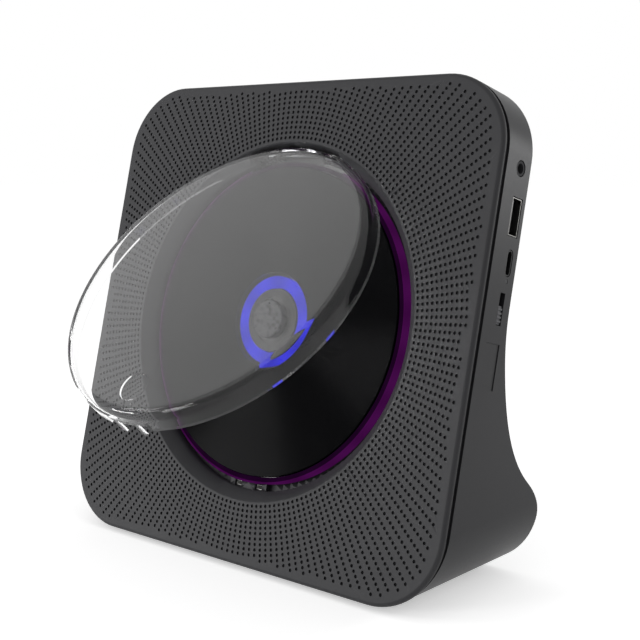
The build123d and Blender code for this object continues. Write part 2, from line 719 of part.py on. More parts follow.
def swept_profile(inset):
    """Side outline of the rear shell in the YZ plane, moved in by a wall."""
    front = -BASE_DEPTH / 2
    seam = -SEAM_BOTTOM

    def face_point(up, depth):
        return 0, front + up * SINE + depth * COSINE, FOOT_LIFT + up * COSINE - depth * SINE

    turn = math.radians(SWEEP_MIDDLE_ANGLE)
    top_front = face_point(FACE_HEIGHT - inset, seam)
    top_back = face_point(FACE_HEIGHT - inset, SHELL_DEPTH - inset)
    sweep_start = face_point((SWEEP_TOP + SHELL_DEPTH * SINE) / COSINE, SHELL_DEPTH - inset)
    waist = (0, front + WAIST_DEPTH - inset, FOOT_LIFT + WAIST)
    middle = (0, front + SWEEP_MIDDLE_DEPTH - inset * math.cos(turn),
              FOOT_LIFT + SWEEP_MIDDLE - inset * math.sin(turn))
    toe = (0, front + BASE_DEPTH - inset, FOOT_LIFT + TOE_TOP)
    heel = (0, toe[1], FOOT_LIFT + inset)
    low_front = face_point((inset + seam * SINE) / COSINE, seam)
    down_slope = (0, -SINE, -COSINE)
    outwards = (0, math.sin(turn), -math.cos(turn))
    return make_face([
        Line(low_front, top_front),
        Line(top_front, top_back),
        Line(top_back, sweep_start),
        Spline(sweep_start, waist, middle, tangents=(down_slope, outwards)),
        Spline(middle, toe, tangents=(outwards, (0, 0, -1))),
        Line(toe, heel),
        Line(heel, low_front),
    ])


def shell_body(inset):
    """Rear shell's outer form, or its cavity when moved in by the wall."""
    half = SIDE_WALL - inset
    body = Pos(-half, 0, 0) * extrude(swept_profile(inset), 2 * half, dir=(1, 0, 0))
    deep = BASE_DEPTH * 2
    upper = FACE * rounded_plate(inset, -deep, 0)
    standing = Plane(origin=(0, BASE_DEPTH, FOOT_LIFT + inset + TOP_EDGE), x_dir=(1, 0, 0), z_dir=(0, -1, 0))
    lower = standing * extrude(RectangleRounded(2 * half, FACE_HEIGHT, CORNER_RADIUS - inset), deep)
    cut = FOOT_LIFT + TOP_EDGE
    above = block((-half, half), (-deep, deep), (cut, cut + FACE_HEIGHT))
    below = block((-half, half), (-deep, deep), (cut - FACE_HEIGHT, cut))
    return (body & upper & above) + (body & lower & below)


def case_wells():
    """Deep screw wells from the back: solid tubes and the holes down them."""
    back = CASE_POST_END - BASE_DEPTH
    seat = CASE_POST_END - CASE_WELL_FLOOR
    solids = [cylinder(CASE_WELL_RADIUS + CASE_WELL_WALL, back, CASE_POST_END, at) for at in CASE_SCREWS]
    holes = [cylinder(CASE_WELL_RADIUS, back - PAST, seat, at)
             + cylinder(CASE_SCREW_RADIUS + CASE_SCREW_GAP, seat - PAST, CASE_POST_END + PAST, at)
             for at in CASE_SCREWS]
    return solids, holes


def rear_shell():
    """Back half of the housing with its swept foot, ports, button holes and keyholes."""
    outer = shell_body(0)
    shell = outer - shell_body(SHELL_WALL)
    wells, holes = case_wells()
    for well in wells:
        shell += (FACE * well) & outer
    for hole in holes:
        shell -= FACE * hole
    for side in (-1, 1):
        post = cylinder(SCREW_POST_RADIUS, 0, BUTTON_BOARD_DOWN - PAST)
        pilot = cylinder(SCREW_RADIUS + PILOT_GAP, -PAST, SCREW_BITE)
        upright = Pos(side * BUTTON_POST_X, BUTTON_BOARD_Y, -BUTTON_DEPTH) * Rot(-90, 0, 0)
        shell += FACE * (upright * post)
        shell -= FACE * (upright * pilot)
    for at in MAIN_POSTS:
        shell += cylinder(SCREW_POST_RADIUS, FOOT_LIFT + PAST, MAIN_BOARD_Z, at)
        shell -= cylinder(SCREW_RADIUS + PILOT_GAP, FOOT_LIFT + SHELL_WALL, MAIN_BOARD_Z + PAST, at)
    for at in FEET:
        shell -= cylinder(FOOT_RADIUS, FOOT_LIFT - PAST, FOOT_LIFT + FOOT_SEAT, at)
    shell -= FACE * side_openings()
    for x in BUTTON_X:
        shell -= FACE * button_bar(x, BUTTON_CLEARANCE, (TOP_EDGE - SHELL_WALL - PAST, TOP_EDGE + PAST))
    for side in (-1, 1):
        shell -= FACE * keyhole(side * KEYHOLE_X)
    return shell


def keyhole(x):
    """Cutter for one wall-hook keyhole: round entry below, narrow neck above."""
    low, high = -SHELL_DEPTH - PAST, -SHELL_DEPTH + SHELL_WALL + PAST
    entry = TOP_EDGE - KEYHOLE_DOWN
    neck = block(around(x, 2 * KEYHOLE_NECK), (entry, entry + KEYHOLE_RUN), (low, high))
    return (cylinder(KEYHOLE_HEAD, low, high, (x, entry)) + neck
            + cylinder(KEYHOLE_NECK, low, high, (x, entry + KEYHOLE_RUN)))


def side_openings():
    """Cutters for everything that shows on the right-hand wall."""
    through = (SIDE_WALL - SHELL_WALL - PAST, SIDE_WALL + PAST)
    margin = 2 * (SOCKET_WALL + PORT_GAP)
    usb = [size + margin for size in USB_OPENING]
    power = [size + margin for size in POWER_OPENING]
    cutters = along_x(JACK_NOSE + PORT_GAP, through, JACK_Y, -JACK_DEPTH)
    cutters += block(through, around(USB_Y, usb[0]), around(-USB_DEPTH, usb[1]))
    cutters += side_slot(power, through, POWER_Y, POWER_DEPTH)
    cutters += along_x(LED_RADIUS + LED_SETBACK, through, LED_Y, -LED_DEPTH)
    cutters += block(through, around(SWITCH_Y, SWITCH_WINDOW[0]), around(-SWITCH_DEPTH, SWITCH_WINDOW[1]))
    cutters += block((SIDE_WALL - LABEL_RECESS, SIDE_WALL + PAST), LABEL_Y, [-depth for depth in LABEL_DEPTH])
    return cutters


def rubber_feet():
    """Four round pads pressed into their seats under the base."""
    pads = [cylinder(FOOT_RADIUS - FOOT_FIT, 0, FOOT_LIFT + FOOT_SEAT, at) for at in FEET]
    return Compound(children=[chamfer(pad.edges().group_by(Axis.Z)[0], FOOT_EDGE) for pad in pads])


def housing_screws():
    """Four long screws in the wells of the back."""
    seat = CASE_POST_END - CASE_WELL_FLOOR
    screws = [pan_screw(CASE_SCREW_RADIUS, CASE_SCREW_LENGTH, CASE_HEAD_RADIUS, CASE_HEAD, at, seat)
              for at in CASE_SCREWS]
    return FACE * Compound(children=screws)


# Disc well
def disc_tray():
    """Floor under the disc: raised middle, lens slot, flange, ears and chassis posts."""
    inside = TRAY_RIM - TRAY_RIM_WALL
    tray = turned([
        (TRAY_HOLE, TRAY_UNDERSIDE), (inside, TRAY_UNDERSIDE), (inside, TRAY_BACK),
        (TRAY_FLANGE_RADIUS, TRAY_BACK), (TRAY_FLANGE_RADIUS, TRAY_SEAT), (TRAY_RIM, TRAY_SEAT),
        (TRAY_RIM, TRAY_TOP), (TRAY_HOLE, TRAY_TOP),
    ])
    for x, y in TRAY_POSTS:
        arm = block((TRAY_FLANGE_RADIUS - PAST, TRAY_POST_CIRCLE), around(0, 2 * TRAY_EAR_RADIUS),
                    (TRAY_BACK, TRAY_SEAT))
        tray += Rot(0, 0, math.degrees(math.atan2(y, x))) * arm
        tray += cylinder(TRAY_EAR_RADIUS, TRAY_BACK, TRAY_SEAT, (x, y))
    for at in TRAY_POSTS:
        tray -= cylinder(SCREW_HOLE, TRAY_BACK - PAST, TRAY_SEAT + PAST, at)
    tray -= lens_slot(inside)
    notch = LIGHT_OUTER + TRAY_NOTCH_GAP
    height = (TRAY_BACK - PAST, TRAY_SEAT + PAST)
    tray -= block(around(0, 2 * (POCKET_HALF + POCKET_NOTCH_GAP)), (notch, DISH_MOUTH_RADIUS), height)
    tray -= block(around(0, 2 * (LATCH_CASE_HALF + LATCH_NOTCH_GAP)), (-DISH_MOUTH_RADIUS, -notch), height)
    for at in DAMPERS:
        tray += cylinder(POST_RADIUS, DAMPER_END, TRAY_UNDERSIDE, at)
        tray -= cylinder(DAMPER_SCREW_RADIUS + PILOT_GAP, DAMPER_END - PAST, TRAY_UNDERSIDE + PILOT_END, at)
    return tray


def lens_slot(inside):
    """Cutter for the lens's run through the tray's floor and for the actuator's through its rim."""
    outside = -TRAY_RIM - LIGHT_GAP
    lens_half = LENS_RADIUS + LENS_SLOT_MARGIN
    slot = block((outside, LENS_START), (-lens_half, lens_half), (TRAY_UNDERSIDE - PAST, TRAY_TOP + PAST))
    slot += cylinder(lens_half, TRAY_UNDERSIDE - PAST, TRAY_TOP + PAST, (LENS_START, 0))
    actuator_half = ACTUATOR_HALF + ACTUATOR_GAP
    return slot + block((outside, PAST - inside), (-actuator_half, actuator_half),
                        (TRAY_BACK - PAST, TRAY_UNDERSIDE))


def tray_light_ring():
    """Light guide round the disc."""
    return tube(LIGHT_OUTER, LIGHT_INNER, TRAY_SEAT + LED_STRIP, LIGHT_TOP)


def ring_led_strip():
    """Flat flexible strip that lights the guide from below."""
    return tube(LIGHT_OUTER, LIGHT_INNER, TRAY_SEAT, TRAY_SEAT + LED_STRIP)


def hub_light_ring():
    """Light guide round the turntable, under the disc's clear middle."""
    return tube(HUB_LIGHT_OUTER, HUB_LIGHT_INNER, TRAY_TOP, HUB_LIGHT_TOP)


def compact_disc():
    """Disc with its centre hole and the stacking ridge underneath."""
    disc = tube(DISC_RADIUS, DISC_BORE, DISC_BACK, DISC_FRONT)
    disc = chamfer(disc.edges().filter_by(GeomType.CIRCLE).group_by(SortBy.RADIUS)[-1], DISC_EDGE)
    return disc + tube(STACK_RIDGE_RADIUS + STACK_RIDGE_WIDTH, STACK_RIDGE_RADIUS,
                       DISC_BACK - STACK_RIDGE, DISC_BACK)


def turntable():
    """Platter, sleeve and shaft that carry the disc."""
    top = DISC_BACK - PAD_THICKNESS
    platter = cylinder(TURNTABLE_RADIUS, top - TURNTABLE_THICKNESS, top)
    platter = chamfer(platter.edges().group_by(Axis.Z)[0], TURNTABLE_EDGE)
    platter += cylinder(SLEEVE_RADIUS, SLEEVE_END, top - TURNTABLE_THICKNESS)
    return platter + cylinder(SHAFT_RADIUS, PLATE_BOTTOM - MOTOR_HEIGHT + SHAFT_END_GAP, SLEEVE_END)


def turntable_pad():
    """Rubber ring that grips the disc's underside."""
    return tube(TURNTABLE_RADIUS - PAD_INSET, PAD_INNER, DISC_BACK - PAD_THICKNESS, DISC_BACK)


def ball_positions():
    """Centres of the sprung balls that hold the disc down."""
    step = 360 / BALL_COUNT
    return [Rot(0, 0, 90 + step * i) * Pos(BALL_CIRCLE, 0, BALL_HEIGHT) for i in range(BALL_COUNT)]


def spindle_hub():
    """Grey centre that the disc snaps over, with a round pocket for each ball."""
    radius = DISC_BORE - HUB_CLEARANCE
    hub = cylinder(radius, DISC_BACK - PAD_THICKNESS, HUB_TOP)
    hub = fillet(hub.edges().group_by(Axis.Z)[-1], HUB_EDGE_RADIUS)
    pocket = BALL_RADIUS + BALL_CLEARANCE
    for place in ball_positions():
        hub -= place * along_x(pocket, (-pocket, radius), 0, 0)
    return hub


def hub_catches():
    """The sprung balls, as one set."""
    return Compound(children=[place * Sphere(BALL_RADIUS) for place in ball_positions()])


# Drive
def drive_chassis():
    """Pressed steel frame: sled window, rod lugs, gear axle and motor seats."""
    low, high = PLATE_BOTTOM, PLATE_TOP
    through = (low - PAST, high + PAST)
    plate = block((PLATE_LEFT, PLATE_RIGHT), (-PLATE_HALF, PLATE_HALF), (low, high))
    plate = fillet(plate.edges().filter_by(Axis.Z), PLATE_CORNER)
    plate += block(around(PINION_AT[0], 2 * (FEED_MOTOR_RADIUS + FEED_MOTOR_MARGIN)),
                   (PLATE_HALF - FEED_MOTOR_MARGIN, PINION_AT[1] + FEED_MOTOR_RADIUS + PAST), (low, high))
    plate -= block((WINDOW_LEFT, WINDOW_RIGHT), (-WINDOW_HALF, WINDOW_HALF), through)
    plate += cylinder(MOTOR_RADIUS + MOTOR_SEAT_MARGIN, low, high)
    plate -= cylinder(MOTOR_NOSE_RADIUS + DAMPER_FIT, *through)
    for at in DAMPERS:
        plate -= cylinder(DAMPER_WAIST, *through, at)
    plate -= cylinder(PINION_RADIUS + MOTOR_SEAT_MARGIN, *through, PINION_AT)
    plate -= cylinder(GEAR_NECK + GEAR_NECK_GAP, *through, (GEAR_X, GEAR_Y))
    for side in (-1, 1):
        y = side * ROD_Y
        for x in (WINDOW_LEFT - ROD_LUG_OVERHANG, WINDOW_RIGHT + ROD_LUG_OVERHANG):
            lug = block(around(x, ROD_LUG), around(y, 2 * ROD_LUG_HALF), (ROD_HEIGHT - ROD_LUG_BELOW, high))
            plate += lug - along_x(ROD_RADIUS + ROD_SEAT, around(x, 2 * ROD_LUG), y, ROD_HEIGHT)
    return plate + gear_bracket()


def gear_bracket():
    """Bent tab below the plate with the feed gear's axle."""
    low = RACK_BOTTOM - AXLE_FLOAT
    foot = (low - AXLE_BRACKET, low)
    axle = cylinder(AXLE_RADIUS - BEARING_CLEARANCE, foot[0], WHEEL_TOP + AXLE_STICK_OUT, (GEAR_X, GEAR_Y))
    x = (GEAR_X - BRACKET_SPAN[0], GEAR_X + BRACKET_SPAN[1])
    wall = (PLATE_HALF, PLATE_HALF + BRACKET_TAB)
    tab = block(x, (PLATE_HALF - PAST, wall[1]), (PLATE_BOTTOM, PLATE_TOP))
    tab += block(x, wall, (foot[0], PLATE_TOP))
    return axle + tab + block(x, (GEAR_Y - BRACKET_LAP, wall[1]), foot)


def chassis_dampers():
    """Grooved rubber grommets between the chassis and the tray's posts."""
    bore, neck = POST_RADIUS + DAMPER_FIT, DAMPER_WAIST - DAMPER_FIT
    grommet = turned([
        (bore, DAMPER_END), (DAMPER_RADIUS, DAMPER_END), (DAMPER_RADIUS, PLATE_BOTTOM),
        (neck, PLATE_BOTTOM), (neck, PLATE_TOP), (DAMPER_RADIUS, PLATE_TOP),
        (DAMPER_RADIUS, PLATE_TOP + DAMPER_FLANGE), (DAMPER_WAIST, TRAY_UNDERSIDE), (bore, TRAY_UNDERSIDE),
    ])
    return Compound(children=[Pos(*at, 0) * grommet for at in DAMPERS])


def chassis_screws():
    """Four shouldered screws that keep the chassis on its dampers."""
    head = DAMPER_RADIUS - DAMPER_HEAD_INSET
    screws = [pan_screw(DAMPER_SCREW_RADIUS, DAMPER_SCREW_LENGTH, head, DAMPER_SCREW_HEAD, at, DAMPER_END)
              for at in DAMPERS]
    return Compound(children=screws)


def guide_rods():
    """Two ground rods on which the pickup slides."""
    beyond = ROD_LUG_OVERHANG + ROD_LUG / 2
    span = (WINDOW_LEFT - beyond, WINDOW_RIGHT + beyond)
    return Compound(children=[along_x(ROD_RADIUS, span, side * ROD_Y, ROD_HEIGHT) for side in (-1, 1)])


def spindle_motor():
    """Flat motor under the chassis; its nose centres in the plate and holds the bearing."""
    low = PLATE_BOTTOM - MOTOR_HEIGHT
    nose_top = PLATE_TOP + MOTOR_NOSE
    motor = cylinder(MOTOR_RADIUS, low, PLATE_BOTTOM)
    motor = chamfer(motor.edges().group_by(Axis.Z)[0], MOTOR_EDGE)
    motor += cylinder(MOTOR_NOSE_RADIUS, PLATE_BOTTOM, nose_top)
    return motor - cylinder(SHAFT_RADIUS + BEARING_CLEARANCE, low + MOTOR_FLOOR, nose_top + PAST)


def pickup_sled():
    """Moulded carriage: bush on one rod, hook on the other, rack along one side."""
    lens = LENS_START
    body_x = (lens - SLED_OUTSIDE, lens + SLED_INSIDE)
    height = (SLED_BOTTOM, SLED_TOP)
    sled = block(body_x, (-SLED_HALF, SLED_HALF), height)
    sled = fillet(sled.edges().filter_by(Axis.Z), SLED_CORNER)
    for side in (-1, 1):
        arm_y = (side * (SLED_HALF - PAST), side * (ROD_Y + SLED_ROD_COVER))
        sled += block((body_x[0] + SLED_ARM_INSET, body_x[1] - SLED_ARM_INSET), arm_y, height)
    rack_z = (RACK_BOTTOM, RACK_TOP)
    rack_x = (GEAR_X - RACK_SPARE, GEAR_X + LENS_TRAVEL + RACK_SPARE)
    sled += block(rack_x, (RACK_BACK_Y, RACK_PITCH_Y - ROOT_SHARE * RACK_MODULE), rack_z)
    sled += block((lens, body_x[1] - RACK_ARM_INSET), (ROD_Y + RACK_ARM_LAP, RACK_BACK_Y + WELD), rack_z)
    sled += rack_teeth()
    sled -= cylinder(MOTOR_RADIUS + SLED_MOTOR_GAP, SLED_BOTTOM - PAST, SLED_TOP + PAST)
    past_sled = (body_x[0] - PAST, body_x[1] + PAST)
    bore = ROD_RADIUS + ROD_CLEARANCE
    sled -= along_x(bore, past_sled, ROD_Y, ROD_HEIGHT)
    hook_y = (-ROD_Y - SLED_ROD_COVER - PAST, -ROD_Y + ROD_RADIUS + HOOK_BACK_GAP)
    return sled - block(past_sled, hook_y, (ROD_HEIGHT - bore, ROD_HEIGHT + bore))


def rack_teeth():
    """Trapezoid teeth along the sled's rack, in mesh with the small gear."""
    pitch = math.pi * RACK_MODULE
    foot, crown = FOOT_SHARE * pitch, CROWN_SHARE * pitch
    root = RACK_PITCH_Y - ROOT_SHARE * RACK_MODULE - RACK_TOOTH_LAP
    tip = RACK_PITCH_Y + TIP_SHARE * RACK_MODULE - MESH_CLEARANCE
    first = -math.floor(RACK_SPARE / pitch)
    teeth = []
    for index in range(first, math.floor((LENS_TRAVEL + RACK_SPARE) / pitch)):
        middle = GEAR_X + (index + 0.5) * pitch
        outline = Polyline((middle - foot, root), (middle - crown, tip), (middle + crown, tip),
                           (middle + foot, root), close=True)
        teeth.append(Pos(0, 0, RACK_BOTTOM) * extrude(make_face(outline), RACK_TOP - RACK_BOTTOM))
    return teeth


def pickup_actuator():
    """Lens actuator block on the sled."""
    lens = LENS_START
    body = block((lens - SLED_OUTSIDE + ACTUATOR_INSET, lens + ACTUATOR_INSIDE),
                 (-ACTUATOR_HALF, ACTUATOR_HALF), (SLED_TOP, ACTUATOR_TOP))
    body = chamfer(body.edges().group_by(Axis.Z)[-1], ACTUATOR_EDGE)
    body += cylinder(LENS_RADIUS, ACTUATOR_TOP, LENS_TOP - LENS_PROUD, (lens, 0))
    return body - cylinder(LENS_PORT, LENS_TOP - LENS_DEPTH, LENS_TOP + PAST, (lens, 0))


def pickup_lens():
    """Small dome-topped lens in the actuator's ring."""
    curve = (LENS_PORT**2 + LENS_SAG**2) / (2 * LENS_SAG)
    barrel = cylinder(LENS_PORT, LENS_TOP - LENS_DEPTH, LENS_TOP + PAST)
    dome = Pos(0, 0, LENS_TOP - curve) * Sphere(curve) & barrel
    return Pos(LENS_START, 0, 0) * dome


def feed_gear():
    """Two-step gear: large wheel over the plate, small gear down to the rack, bored for its axle."""
    at = (GEAR_X, GEAR_Y)
    wheel = gear(WHEEL_MODULE, WHEEL_TEETH, WHEEL_TOP - WHEEL_THICKNESS, WHEEL_TOP, at)
    small = gear(RACK_MODULE, SMALL_TEETH, RACK_BOTTOM, PLATE_BOTTOM - GEAR_LIFT, at, -90.0)
    neck = cylinder(GEAR_NECK, PLATE_BOTTOM - GEAR_LIFT - WELD, WHEEL_TOP - WHEEL_THICKNESS + WELD, at)
    return wheel + small + neck - cylinder(AXLE_RADIUS, RACK_BOTTOM - PAST, WHEEL_TOP + PAST, at)


def feed_motor():
    """Flat motor that turns the pinion."""
    low = PLATE_BOTTOM - MOTOR_HEIGHT
    motor = cylinder(FEED_MOTOR_RADIUS, low, PLATE_BOTTOM, PINION_AT)
    motor = chamfer(motor.edges().group_by(Axis.Z)[0], MOTOR_EDGE)
    return motor - cylinder(AXLE_RADIUS + BEARING_CLEARANCE, low + FEED_MOTOR_FLOOR, PLATE_BOTTOM + PAST,
                            PINION_AT)


def feed_pinion():
    """Pinion and its shaft."""
    low, high = WHEEL_TOP - WHEEL_THICKNESS - PINION_OVERLAP, WHEEL_TOP + PINION_OVERLAP
    pinion = gear(WHEEL_MODULE, PINION_TEETH, low, high, PINION_AT, pinion_phase())
    shaft_end = PLATE_BOTTOM - MOTOR_HEIGHT + FEED_MOTOR_FLOOR + AXLE_FLOAT
    return pinion + cylinder(AXLE_RADIUS, shaft_end, low, PINION_AT)


def pinion_phase():
    """Turn that puts a pinion gap on the line of centres where the wheel shows a tooth."""
    wheel_pitch = 360 / WHEEL_TEETH
    offset = PINION_ANGLE - round(PINION_ANGLE / wheel_pitch) * wheel_pitch
    pinion_pitch = 360 / PINION_TEETH
    facing = PINION_ANGLE + 180
    return facing + pinion_pitch / 2 + offset * WHEEL_TEETH / PINION_TEETH


# Cover, hinge and latch
def cover_form(inset, top, base):
    """Dished disc with a rounded edge, moved in by a wall."""
    radius, edge = COVER_RADIUS - inset, COVER_EDGE_RADIUS - inset
    form = cylinder(radius, base, top)
    return fillet(form.edges().group_by(Axis.Z)[-1], edge)


def closed_cover():
    """Clear dished cover as it lies when shut, with hooks below and knuckles above."""
    inner, outer = COVER_RADIUS - COVER_WALL, COVER_RADIUS
    cover = cover_form(0, COVER_FRONT, COVER_BASE)
    cover -= cover_form(COVER_WALL, COVER_FRONT - COVER_PLATE, COVER_BASE - PAST)
    dimple = Cone(DIMPLE_RADIUS - DIMPLE_TAPER, DIMPLE_RADIUS, 2 * DIMPLE_DEPTH)
    cover -= Pos(0, DIMPLE_IN - COVER_RADIUS, COVER_FRONT) * dimple
    cover -= block((-RIM_NOTCH_HALF, RIM_NOTCH_HALF), (-outer - PAST, -inner + NOTCH_REACH),
                   (COVER_BASE - PAST, RIM_NOTCH_TOP))
    between_knuckles = KNUCKLE_X - KNUCKLE_LENGTH / 2 - KNUCKLE_GAP
    cover -= block((-between_knuckles, between_knuckles), (inner - NOTCH_REACH, outer + PAST),
                   (COVER_BASE - PAST, HINGE_NOTCH_TOP))
    back = HOOK_INSET - outer
    for side in (-1, 1):
        cover += block(around(side * HOOK_X, HOOK_WIDTH), (back, back + HOOK_THICKNESS),
                       (HOOK_END, RIM_NOTCH_TOP + HOOK_LAP))
        span = around(side * KNUCKLE_X, KNUCKLE_LENGTH)
        arm = block(span, (inner - NOTCH_REACH, HINGE_Y), (RIM_GROOVE_FLOOR, HINGE_HEIGHT + KNUCKLE_ARM))
        knuckle = along_x(KNUCKLE_RADIUS, span, HINGE_Y, HINGE_HEIGHT)
        cover += arm + knuckle - cylinder(inner, COVER_BASE - KNUCKLE_RADIUS, COVER_FRONT)
        cover -= along_x(HINGE_PIN_RADIUS + HINGE_CLEARANCE, around(side * KNUCKLE_X, 2 * KNUCKLE_LENGTH),
                         HINGE_Y, HINGE_HEIGHT)
    return cover


def dust_cover():
    """Cover swung open about its hinge line."""
    return closed_cover().rotate(HINGE_LINE, -COVER_OPEN)


def hinge_bracket():
    """Moulded bracket behind the dish: base, back wall and an ear each side of both knuckles."""
    base = (TRAY_BACK, TRAY_SEAT)
    wall_y = (POCKET_TOP_Y + BRACKET_GAP, POCKET_TOP_Y + BRACKET_GAP + BRACKET_WALL)
    width = (-POCKET_HALF, POCKET_HALF)
    bracket = block(width, (LIGHT_OUTER + BRACKET_LIGHT_GAP, wall_y[1]), base)
    bracket += block(width, wall_y, (TRAY_BACK, BRACKET_TOP))
    for x, y in BRACKET_POSTS:
        bracket += cylinder(TRAY_EAR_RADIUS, *base, (x, y))
        bracket += block((x, math.copysign(POCKET_HALF - PAST, x)), (y - TRAY_EAR_RADIUS, wall_y[1]), base)
        bracket -= cylinder(SCREW_HOLE, TRAY_BACK - PAST, TRAY_SEAT + PAST, (x, y))
    for x in EAR_CENTRES:
        span = around(x, EAR_THICKNESS)
        bracket += block(span, (HINGE_Y - KNUCKLE_RADIUS, wall_y[0] + WELD), (TRAY_SEAT - WELD, HINGE_HEIGHT))
        bracket += along_x(KNUCKLE_RADIUS, span, HINGE_Y, HINGE_HEIGHT)
    return bracket - along_x(HINGE_PIN_RADIUS + PIN_SEAT, around(0, 2 * (PIN_HALF + PAST)),
                             HINGE_Y, HINGE_HEIGHT)


def hinge_pin():
    """Steel pin through ears and knuckles, longer on the side that carries the spring."""
    spring_end = PIN_HALF + SPRING_GAP + SPRING_TURNS_LENGTH + SPRING_GAP
    return along_x(HINGE_PIN_RADIUS, (-PIN_HALF, spring_end + PIN_END), HINGE_Y, HINGE_HEIGHT)


def coil(radius, wire, pitch, height):
    """Helical square wire about Z, starting at height 0."""
    path = Helix(pitch, height, radius)
    section = Plane(path @ 0, x_dir=(1, 0, 0), z_dir=path % 0) * Rectangle(2 * wire, 2 * wire)
    return sweep(section, path, is_frenet=True)


def hinge_spring():
    """Torsion spring on the end of the pin, with one leg down to the bracket."""
    start = PIN_HALF + SPRING_GAP
    turns = coil(SPRING_RADIUS, SPRING_WIRE, SPRING_PITCH, SPRING_TURNS_LENGTH)
    leg_at = (start + SPRING_TURNS_LENGTH, HINGE_Y)
    leg = cylinder(SPRING_WIRE, TRAY_SEAT, HINGE_HEIGHT - SPRING_RADIUS, leg_at)
    return Pos(start, HINGE_Y, HINGE_HEIGHT) * Rot(0, 90, 0) * turns + leg


def latch_housing():
    """Pale case behind the dish that takes the cover's hooks and guides the catch."""
    wall = LATCH_WALL
    back, inner = -LATCH_SLOT_INNER - LATCH_CASE_DEPTH, -LATCH_SLOT_INNER - LATCH_FIT
    case = block((-LATCH_CASE_HALF, LATCH_CASE_HALF), (back, inner), (LATCH_CASE_END, TRAY_SEAT))
    case += block(around(0, 2 * (BRIDGE_HALF - LATCH_NOSE_GAP)), (-LATCH_SLOT_OUTER + LATCH_NOSE_INSET, inner),
                  (TRAY_SEAT - PAST, BRIDGE_TOP - BRIDGE_WALL))
    case -= block(around(0, 2 * (LATCH_CASE_HALF - wall)), (back + wall, inner - LATCH_FRONT_WALL),
                  (LATCH_CASE_END + wall, TRAY_SEAT - wall))
    for x, y in LATCH_POSTS:
        case += cylinder(TRAY_EAR_RADIUS, TRAY_BACK, TRAY_SEAT, (x, y))
        case += block((math.copysign(LATCH_CASE_HALF - wall / 2, x), x), (y, y + TRAY_EAR_RADIUS),
                      (TRAY_BACK, TRAY_SEAT))
        case -= cylinder(SCREW_HOLE, TRAY_BACK - PAST, TRAY_SEAT + PAST, (x, y))
    for side in (-1, 1):
        case -= block(around(side * HOOK_X, HOOK_WIDTH + 2 * HOOK_SIDE_GAP),
                      (-LATCH_SLOT_OUTER + HOOK_SLOT_INSET, inner - HOOK_INSET),
                      (TRAY_SEAT - wall - HOOK_SLOT_INSET, BRIDGE_TOP))
    return case


def catch_outline():
    """Spans of the catch along x and y."""
    half = LATCH_CASE_HALF - LATCH_WALL - CATCH_GAP
    back = -LATCH_SLOT_INNER - LATCH_CASE_DEPTH + LATCH_WALL + CATCH_GAP
    return (-half, half), (back, -LATCH_SLOT_INNER - CATCH_FRONT_GAP)


def latch_catch():
    """Sliding catch under the hooks, bored for its spring."""
    x, y = catch_outline()
    catch = block(x, y, (CATCH_TOP - CATCH_THICKNESS, CATCH_TOP))
    catch = chamfer(catch.edges().group_by(Axis.Z)[-1], CATCH_EDGE)
    return catch - cylinder(CATCH_SPRING_RADIUS + CATCH_SPRING_ROOM, CATCH_TOP - CATCH_THICKNESS - PAST,
                            CATCH_TOP - CATCH_ROOF, (0, sum(y) / 2))


def latch_spring():
    """Coil that returns the catch."""
    low = LATCH_CASE_END + LATCH_WALL + SPRING_WIRE
    height = CATCH_TOP - CATCH_ROOF - SPRING_WIRE - low
    turns = coil(CATCH_SPRING_RADIUS, SPRING_WIRE, height / CATCH_SPRING_TURNS, height)
    return Pos(0, sum(catch_outline()[1]) / 2, low) * turns


# Speakers
def speaker_place(side):
    """Place of a speaker's axis behind the face."""
    return Pos(side * SPEAKER_X, SPEAKER_Y, PLATE_BACK)


def speaker_frame(side):
    """Pressed basket with a flange, a ledge for the surround and four windows."""
    back, wall = -BASKET_DEPTH, BASKET_WALL
    recess = SURROUND_OUTER + SURROUND_FIT
    throat = recess - LEDGE_WIDTH
    waist = COIL_RADIUS + COIL_ROOM
    frame = turned([
        (waist, back - wall), (BASKET_BACK_RADIUS, back - wall), (recess + WELD, -SPEAKER_FLANGE),
        (SPEAKER_RADIUS, -SPEAKER_FLANGE), (SPEAKER_RADIUS, 0), (recess, 0), (recess, -SPEAKER_LEDGE),
        (throat, -SPEAKER_LEDGE), (BASKET_BACK_RADIUS - wall, back), (waist, back),
    ])
    window = block((BASKET_BACK_RADIUS - wall, SPEAKER_RADIUS), around(0, WINDOW_WIDTH),
                   (back + wall + WINDOW_SILL, -SPEAKER_FLANGE - WINDOW_EDGE))
    for turn in range(WINDOW_COUNT):
        frame -= Rot(0, 0, (turn + 0.5) * 360 / WINDOW_COUNT) * window
    return speaker_place(side) * frame


def speaker_cone(side):
    """Paper cone with its dust cap and voice-coil tube."""
    top, bottom, wall = -SPEAKER_LEDGE, -SPEAKER_LEDGE - CONE_DEPTH, CONE_WALL
    coil_inside = COIL_RADIUS - COIL_WALL
    cone = turned([
        (CONE_RADIUS, top), (CONE_RADIUS - CONE_LIP, top), (COIL_RADIUS, bottom + wall),
        (0, bottom + wall + DUST_CAP_RISE), (0, bottom + DUST_CAP_RISE), (coil_inside, bottom - COIL_WALL),
        (coil_inside, -BASKET_DEPTH), (COIL_RADIUS, -BASKET_DEPTH), (COIL_RADIUS, bottom - wall),
    ])
    return speaker_place(side) * cone


